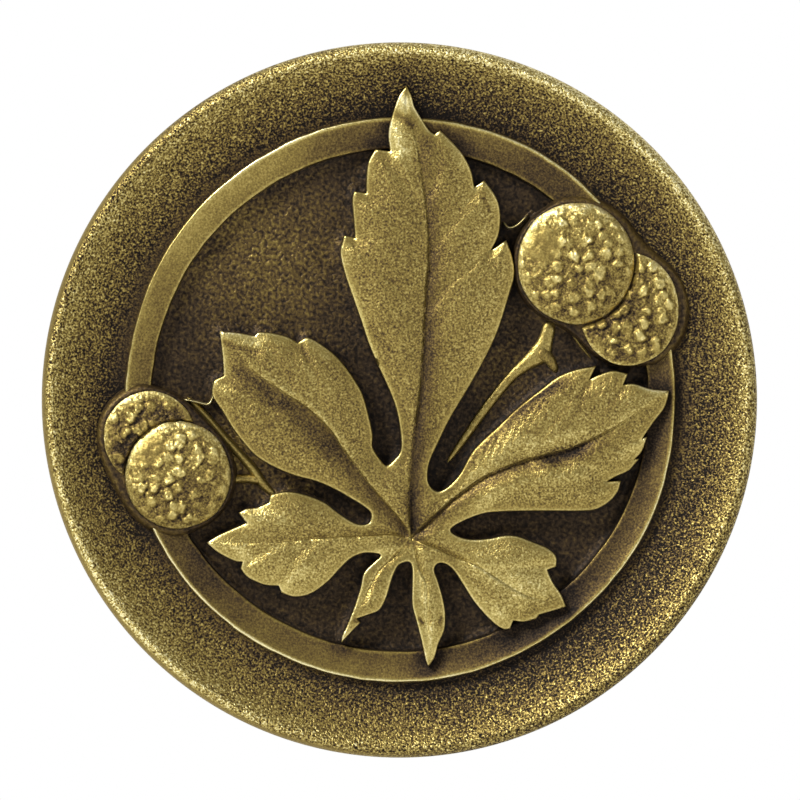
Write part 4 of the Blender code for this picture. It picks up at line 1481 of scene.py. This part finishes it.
    def build(self) -> None:
        """Makes the leaf: its upper side, its walls with a little draft, and its back.

        The walls go down from the outline in rows. Their levels are shares of the leaf's height over
        the ground, and the last one lies at the bottom of the relief. The back is the upper side once
        more, turned over, whose edge is the walls' last row.
        """
        places, faces = self.upper_side()
        height, tone, grit = self.form(places)
        total, columns, walls = len(places), len(self.outline), len(self.wall_levels)
        rim = places[:columns]
        out = self.outwards(rim)
        tall = LEAF_EDGE_LEVEL - self.edge_drop - GROUND_LEVEL
        rows = [rim + out * self.wall_draft * (1 - max(level, 0)) for level in self.wall_levels]
        levels = [GROUND_LEVEL + tall * level if level >= 0 else RELIEF_BOTTOM for level in self.wall_levels]
        grid = np.vstack([np.arange(columns), total + np.arange(walls * columns).reshape(walls, columns)])
        quads = np.stack([grid[:-1], grid[1:], np.roll(grid[1:], 1, axis=1),
                          np.roll(grid[:-1], 1, axis=1)], axis=-1).reshape(-1, 4)
        inner = total - columns
        back = np.concatenate([grid[-1], total + walls * columns + np.arange(inner)])
        flat = np.vstack([places, *rows, places[columns:]])
        height = np.concatenate([height, np.repeat(levels, columns), np.full(inner, RELIEF_BOTTOM)])
        # the walls are painted in shade, darker towards the ground
        tone = np.concatenate([tone, np.repeat(self.wall_shade_tones, columns), np.full(inner, self.back_tone)])
        grit = np.concatenate([grit, np.full(walls * columns + inner, self.back_grit)])
        points = np.column_stack([flat[:, 0], -height, flat[:, 1]])
        triangles = np.vstack([faces, back[faces][:, ::-1]])
        make_piece("leaf", Surface(points, quads, triangles, tone, grit).outward(), LEAF_FINISH)


@dataclass
class SeedHeads:
    """The two pairs of studded seed balls and the smooth skirts that they sit on."""

    height: float = 0.00058
    back_drop: float = 0.00028
    rim_height: float = 0.00010
    seat: float = 0.00004
    flatness: float = 2.6
    stud_spacing: float = 0.00068
    stud_reach: float = 0.00028
    stud_height: float = 0.00014
    stud_wander: float = 0.00013
    # How far down and to the right the painted shadow of each stud lies
    stud_shadow_shift: float = 0.00011
    worn_reach: float = 0.00115
    pit_depth: float = 0.00005
    stud_tone: float = 0.34
    # Painted shadow at the lower right of each stud
    stud_shadow_tone: float = -0.26
    pit_tone: float = 0.08
    # Painted highlight round the rim, broader on the side of the light
    rim_tone: float = 0.26
    lit_tone: float = 0.12
    # Painted shadow of the front ball on the back ball
    front_ball_shadow_tone: float = -0.26
    # The balls' walls are painted in shade, darker towards the ground
    wall_shade_tones: tuple[float, ...] = (0.26, 0.12)
    wall_drops: tuple[float, ...] = (0.00012, 0.00072)
    light_turn: float = radians(100)
    least_grit: float = 0.35
    stud_smooth: float = 0.55
    columns: int = 288
    rows: int = 50
    skirt_reach: float = 0.00052
    skirt_flat: float = 0.00008
    skirt_blend: float = 0.0012
    skirt_inner_reach: float = 0.00022
    skirt_tone: float = 0.20
    # Painted highlight on the slope of the skirt
    skirt_highlight: float = 0.12
    skirt_shade: float = 0.06
    skirt_wall_tone: float = 0.1
    skirt_grit: float = 0.5
    skirt_columns: int = 360
    skirt_rows: int = 60

    def studs(self, across: Array, up: Array, seed: int) -> Array:
        """How far up the scattered studs each place lies: 0 beside them, and on top a stud's own share."""
        gap, number = scattered_studs(across, up, self.stud_spacing, seed)
        return (1 - step_up(gap, 0.5 * self.stud_reach, 1.2 * self.stud_reach)) * (0.3 + 0.7 * number)

    def hidden(self, ball: Ball, across: Array, up: Array) -> tuple[Array, Array]:
        """How a back ball gives way to the front ball of its pair.

        It is sunk under the front ball, with a trench beside it and a painted shadow of the front ball on
        it, both wider, and the shadow darker, on the side away from the light.

        Args:
            ball: The back ball, which follows its front ball in the list.
            across: Place across the face for each row and column.
            up: Place up the face.

        Returns:
            How far each place is sunk, and how dark its painted shadow is, each as a share.
        """
        front = SEED_BALLS[SEED_BALLS.index(ball) - 1]
        (x, y), = on_face([front.centre])
        out = np.hypot(across - x, (up - y) / front.tall) - front.size * PICTURE_SCALE
        open_side = 0.25 + 0.75 * step_up((across - x) - (up - y), -0.002, 0.002)
        under = 1 - step_up(out, -0.00008, 0.00006 + 0.00024 * open_side)
        return under, open_side * (1 - step_up(out, 0.0, 0.00018)) + 0.6 * bell(out - 0.0003, 0.0006)

    def ball(self, ball: Ball, seed: int) -> None:
        """Makes one ball.

        Seen from the front it is an ellipse with a slightly wavy edge. Its height is a dome, one less
        the share of the radius to the power of its flatness, plus a flat-topped lump for each scattered
        stud and low random waves. The studs are the brightest, and a painted shadow darkens each one's
        lower right, away from the light. The rim carries a painted highlight, broader on the side of the
        light, the whole ball is painted lighter towards the light, and the worn spot is smoother than
        the rest.

        Args:
            ball: The ball as it lies on the picture.
            seed: Which scatter of studs and which waves.
        """
        (x, y), (worn_x, worn_y) = on_face([ball.centre, ball.worn])
        size = ball.size * PICTURE_SCALE
        angle = round_angles(self.columns)
        share = np.sin(pi / 2 * np.arange(1, self.rows + 1) / self.rows)[:, None]
        wobble = 1 + 0.012 * soft_noise(np.cos(angle) * 3, np.sin(angle) * 3, 1.0, seed)
        across = x + size * share * wobble * np.cos(angle)
        up = y + size * ball.tall * share * wobble * np.sin(angle)
        drift = [self.stud_wander * soft_noise(across, up, 0.00030, seed + step) for step in (60, 61)]
        # the studs, and the same studs moved down and to the right for their painted shadows
        stud, stud_shadow = (self.studs(across + drift[0] - shift, up + drift[1] + shift, seed)
                     for shift in (0.0, self.stud_shadow_shift))
        pits = 0.5 * soft_noise(across, up, 0.00030, seed + 40) + soft_noise(across, up, 0.00014, seed + 41)
        worn = np.hypot(across - worn_x, up - worn_y)
        smooth = 0.3 + 0.7 * step_up(worn, 0.6 * self.worn_reach, self.worn_reach)
        stud_shadow, stud, pits = np.maximum(stud_shadow - stud, 0) * smooth, stud * smooth, pits * smooth
        tall = self.height - (self.back_drop if ball.behind else 0.0)
        dome = self.rim_height + (tall - self.rim_height) * (1 - share**self.flatness) ** 0.6
        fade = 1 - share**8
        base = PAD_LEVEL + self.seat
        height = base + dome + fade * (self.stud_height * stud + self.pit_depth * pits) + 0 * angle
        lit = 0.5 + 0.5 * np.cos(angle - self.light_turn)
        # painted highlight round the rim, broader on the side of the light
        rim = bell(1 - share, 0.045) + 0.8 * lit * bell(0.92 - share, 0.09)
        # studs rubbed bright, painted shadows at their lower right, painted light on the side of the light
        tone = ball.tone + self.stud_tone * fade * stud + self.stud_shadow_tone * fade * stud_shadow
        tone = tone + self.pit_tone * pits + self.rim_tone * rim + self.lit_tone * (lit - 0.5)
        if ball.behind:
            under, dark = self.hidden(ball, across, up)
            height = height - (tall + self.stud_height) * under
            # painted shadow of the front ball
            tone = tone + self.front_ball_shadow_tone * dark
        grit = (self.least_grit + (1 - self.least_grit) * smooth) * (1 - self.stud_smooth * stud)
        across, up, grit = (with_last_again(with_last_again(grid)) for grid in (across, up, grit))
        height = np.vstack([height, *(np.full((1, self.columns), base - drop) for drop in self.wall_drops)])
        # the wall rows are painted in shade, darker towards the ground
        tone = np.vstack([tone, *(np.full((1, self.columns), wall) for wall in self.wall_shade_tones)])
        surface = wrapped_surface(across, up, height, tone, grit, False)
        make_piece(ball.name, surface, BALL_FINISH)

    def gap_to_pair(self, pair: Sequence[Ball], across: Array, up: Array) -> Array:
        """Smooth distance outside a pair of balls.

        Each ball counts as a circle whose radius is the mean of half its width and half its height, and
        the answer is the smooth minimum of the distances to both circles.

        Args:
            pair: The two balls.
            across: Places across the face.
            up: Places up the face.

        Returns:
            The distance at each place, below zero inside.
        """
        centres = on_face([ball.centre for ball in pair])
        sizes = np.array([ball.size * (1 + ball.tall) / 2 for ball in pair]) * PICTURE_SCALE
        one, two = (np.hypot(across - x, up - y) - size for (x, y), size in zip(centres, sizes))
        mix = np.clip(0.5 + 0.5 * (two - one) / self.skirt_blend, 0, 1)
        return two * (1 - mix) + one * mix - self.skirt_blend * mix * (1 - mix)

    def skirt(self, name: str, pair: Sequence[Ball]) -> None:
        """Makes the skirt round a pair of balls.

        Along each ray from the middle of the pair the skirt ends where the distance to the pair equals
        its reach, which is found by halving. Its height falls over the reach as a quarter circle, in a
        shorter reach inside the ring.

        Args:
            name: The skirt's name.
            pair: The two balls that it goes round.
        """
        middle = on_face([ball.centre for ball in pair]).mean(axis=0)
        angle = round_angles(self.skirt_columns)
        near, far = np.zeros_like(angle), np.full_like(angle, 0.01)
        for _ in range(30):
            half = (near + far) / 2
            out = self.gap_to_pair(pair, middle[0] + half * np.cos(angle), middle[1] + half * np.sin(angle))
            inside = out < self.skirt_reach
            near, far = np.where(inside, half, near), np.where(inside, far, half)
        share = (np.arange(1, self.skirt_rows + 1) / self.skirt_rows)[:, None]
        across = middle[0] + near * share * np.cos(angle)
        up = middle[1] + near * share * np.sin(angle)
        out = self.gap_to_pair(pair, across, up)
        over_ring = step_up(np.hypot(across, up), RING_INNER_RADIUS - 0.0006, RING_INNER_RADIUS + 0.0006)
        reach = self.skirt_inner_reach + (self.skirt_reach - self.skirt_inner_reach) * over_ring
        fall = np.clip((out - self.skirt_flat) / (reach - self.skirt_flat), 0, 1)
        height = PAD_LEVEL - (PAD_LEVEL - GROUND_LEVEL) * (1 - np.sqrt(1 - fall**2))
        # painted highlight on the skirt's slope, and painted shade at the foot of the balls
        tone = self.skirt_tone + self.skirt_highlight * bell(fall - 0.4, 0.3) * over_ring
        tone = tone - self.skirt_shade * bell(out, 0.00006)
        across, up = with_last_again(across), with_last_again(up)
        height = np.vstack([height, np.full_like(angle, RELIEF_BOTTOM)])
        tone = np.vstack([tone, np.full_like(angle, self.skirt_wall_tone)])
        surface = wrapped_surface(across, up, height, tone, 0 * tone + self.skirt_grit, False)
        make_piece(name, surface, GROUND_FINISH)

    def build(self) -> None:
        """Makes the skirts and the balls."""
        self.skirt("right_skirt", SEED_BALLS[:2])
        self.skirt("left_skirt", SEED_BALLS[2:])
        for seed, ball in enumerate(SEED_BALLS, start=20):
            self.ball(ball, seed)


@dataclass(frozen=True)
class Stalk:
    """One stalk: its name, its route, its half width at each point of it, its height and its tone."""

    name: str
    route: tuple[Point, ...]
    widths: tuple[float, ...]
    height: float
    tone: float


@dataclass
class Stalks:
    """The stalks of the seed balls and the thin ridges beside them, lying on the ground."""

    columns: int = 16
    spans: int = 8
    end_reach: float = 0.3
    low_tone: float = 0.12
    grit: float = 0.6
    stalks: tuple[Stalk, ...] = (
        Stalk("right_stalk", ((447, 464), (462, 443), (486, 409), (510, 379), (526, 365), (540, 354),
                              (546, 340), (551, 322)), (2.4, 4.0, 5.0, 5.0, 7.0, 11.0, 7.5, 6.5),
              0.00024, 0.44),
        Stalk("right_stalk_spur", ((538, 351), (550, 361), (557, 374)), (9.0, 6.0, 3.0), 0.00030, 0.32),
        Stalk("left_stalk", ((277, 500), (262, 485), (251, 469), (225, 440), (205, 417), (186, 398)),
              (3.0, 5.0, 5.2, 4.6, 4.0, 3.0), 0.00040, 0.40),
        Stalk("left_stalk_spur", ((262, 482), (246, 480), (226, 481)), (6.0, 4.6, 5.0), 0.00036, 0.38),
        Stalk("right_ridge", ((570, 331), (580, 345), (592, 360)), (1.2, 1.6, 1.2), 0.00012, 0.34),
        Stalk("left_web", ((181, 400), (196, 403), (207, 405), (212, 397), (212, 382)),
              (1.3, 1.6, 1.6, 1.6, 1.2), 0.00064, 0.74),
        Stalk("right_web", ((503, 222), (509, 228), (518, 225), (528, 215)), (1.2, 1.5, 1.5, 1.2),
              0.00062, 0.70),
    )

    def build(self) -> None:
        """Makes each stalk.

        A round section is carried along the route, as wide as the stalk there and as tall as its
        height, and closes in a point at each end.
        """
        turn = round_angles(self.columns)
        for stalk in self.stalks:
            line = smooth_route(stalk.route, self.spans)
            share = np.linspace(0, len(stalk.route) - 1, len(line))
            half = np.interp(share, np.arange(len(stalk.widths)), stalk.widths) * PICTURE_SCALE
            ends = np.minimum(share, share[-1] - share)
            half = (half * np.sqrt(np.clip(ends / self.end_reach + 0.05, 0, 1)))[:, None]
            square = square_to(np.gradient(line, axis=0))
            across = line[:, :1] + half * np.cos(turn) * square[:, :1]
            up = line[:, 1:] + half * np.cos(turn) * square[:, 1:]
            height = GROUND_LEVEL + stalk.height * np.sin(turn) * np.sqrt(half / half.max())
            # the stalk is lighter on top and painted in shade down its flanks towards the ground
            tone = stalk.tone * step_up(np.sin(turn), -0.4, 0.6) + self.low_tone + 0 * across
            surface = wrapped_surface(across, up, height, tone, 0 * tone + self.grit, False)
            make_piece(stalk.name, surface, LEAF_FINISH)


@dataclass
class Studio:
    """A pale floor and backdrop, soft light and the camera, square on to the knob's face."""

    camera_distance: float = 0.45
    frame_width: float = 0.03914
    frame_level: float = 0.0233
    sensor: float = 36.0
    floor_level: float = -0.030
    floor_reach: float = 0.5
    backdrop_place: float = 0.19
    backdrop_height: float = 0.7
    world_strength: float = 0.30
    camera_side: float = 0.00003
    sheet_colour: tuple[float, float, float, float] = (0.86, 0.86, 0.85, 1.0)

    def camera(self) -> None:
        """Makes the camera, whose frame is as wide as the photograph's at the rim of the head."""
        data = bpy.data.cameras.new("camera")
        data.sensor_width = self.sensor
        data.lens = self.sensor * self.camera_distance / self.frame_width
        data.clip_start = 0.01
        camera = bpy.data.objects.new("camera", data)
        camera.location = (self.camera_side, -self.frame_level - self.camera_distance, 0.0)
        camera.rotation_euler = (pi / 2, 0.0, 0.0)
        bpy.context.scene.collection.objects.link(camera)
        bpy.context.scene.camera = camera

    def lamp(self, name: str, place: tuple[float, float, float], size: float, power: float,
             colour: Colour = (1.0, 1.0, 1.0)) -> None:
        """Makes a square soft lamp that looks at the knob's face.

        Args:
            name: The lamp's name.
            place: Where it hangs.
            size: The side of its square.
            power: How many watts it gives.
            colour: The colour of its light.
        """
        data = bpy.data.lights.new(name, "AREA")
        data.size = size
        data.energy = power
        data.color = colour
        lamp = bpy.data.objects.new(name, data)
        lamp.location = place
        aim = Vector((0.0, -PROJECTION, 0.0)) - Vector(place)
        lamp.rotation_euler = aim.to_track_quat("-Z", "Y").to_euler()
        bpy.context.scene.collection.objects.link(lamp)

    def sheet(self, name: str, corners: Sequence[tuple[float, float, float]], white: bool) -> None:
        """Makes the floor or the backdrop as one sheet.

        Args:
            name: The sheet's name.
            corners: Its four corners.
            white: Whether it shows as plain white to the camera and in the metal.
        """
        mesh = bpy.data.meshes.new(name)
        mesh.from_pydata(corners, [], [(0, 1, 2, 3)])
        material = bpy.data.materials.new(name)
        material.use_nodes = True
        nodes = ShaderSheet(material.node_tree)
        shader = nodes.add("ShaderNodeBsdfDiffuse", {}, {"Color": self.sheet_colour})
        if white:
            light_path = nodes.add("ShaderNodeLightPath")
            camera, glossy, through = (Socket(nodes, light_path.outputs[title]) for title in
                                       ("Is Camera Ray", "Is Glossy Ray", "Is Transmission Ray"))
            seen = camera.maths("MAXIMUM", glossy).maths("MAXIMUM", through)
            glow = nodes.add("ShaderNodeEmission", {}, {"Color": (1.0, 1.0, 1.0, 1.0), "Strength": 1.0})
            mix = nodes.add("ShaderNodeMixShader", {}, {0: seen})
            nodes.tree.links.new(shader.outputs[0], mix.inputs[1])
            nodes.tree.links.new(glow.outputs[0], mix.inputs[2])
            front = nodes.value("ShaderNodeNewGeometry", {}, {}, "Backfacing")
            clear = nodes.add("ShaderNodeBsdfTransparent")
            shader = nodes.add("ShaderNodeMixShader", {}, {0: front})
            nodes.tree.links.new(mix.outputs[0], shader.inputs[1])
            nodes.tree.links.new(clear.outputs[0], shader.inputs[2])
        nodes.finish_with("ShaderNodeOutputMaterial", shader)
        mesh.materials.append(material)
        obj = bpy.data.objects.new(name, mesh)
        bpy.context.scene.collection.objects.link(obj)

    def build(self) -> None:
        """Makes the floor, the backdrop, the lamps, the world's light and the camera."""
        reach, low, back = self.floor_reach, self.floor_level, self.backdrop_place
        self.sheet("floor", [(-reach, -reach, low), (reach, -reach, low), (reach, back, low),
                             (-reach, back, low)], white=False)
        self.sheet("backdrop", [(-reach, back, low), (reach, back, low), (reach, back, self.backdrop_height),
                                (-reach, back, self.backdrop_height)], white=True)
        self.lamp("key_lamp", place=(-0.33, -0.34, 0.37), size=0.18, power=3.7, colour=(1.0, 0.99, 0.96))
        self.lamp("fill_lamp", place=(0.34, -0.40, 0.05), size=0.30, power=0.35)
        world = bpy.data.worlds.new("studio")
        bpy.context.scene.world = world
        world.use_nodes = True
        nodes = ShaderSheet(world.node_tree)
        sky = nodes.add("ShaderNodeBackground", {}, {"Color": (1.0, 1.0, 1.0, 1.0),
                                                     "Strength": self.world_strength})
        nodes.finish_with("ShaderNodeOutputWorld", sky)
        view = bpy.context.scene.view_settings
        view.view_transform = "Standard"
        self.camera()


def main() -> None:
    """Builds the knob piece by piece, then the studio round it."""
    logging.basicConfig(level=logging.INFO, format="%(name)s: %(message)s")
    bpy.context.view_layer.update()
    for part in (TurnedBody(), ScrewThread(), Border(), Ring(), Ground(), Leaf(), SeedHeads(), Stalks()):
        LOG.info("building %s", type(part).__name__)
        part.build()
    Studio().build()


if __name__ == "__main__":
    main()
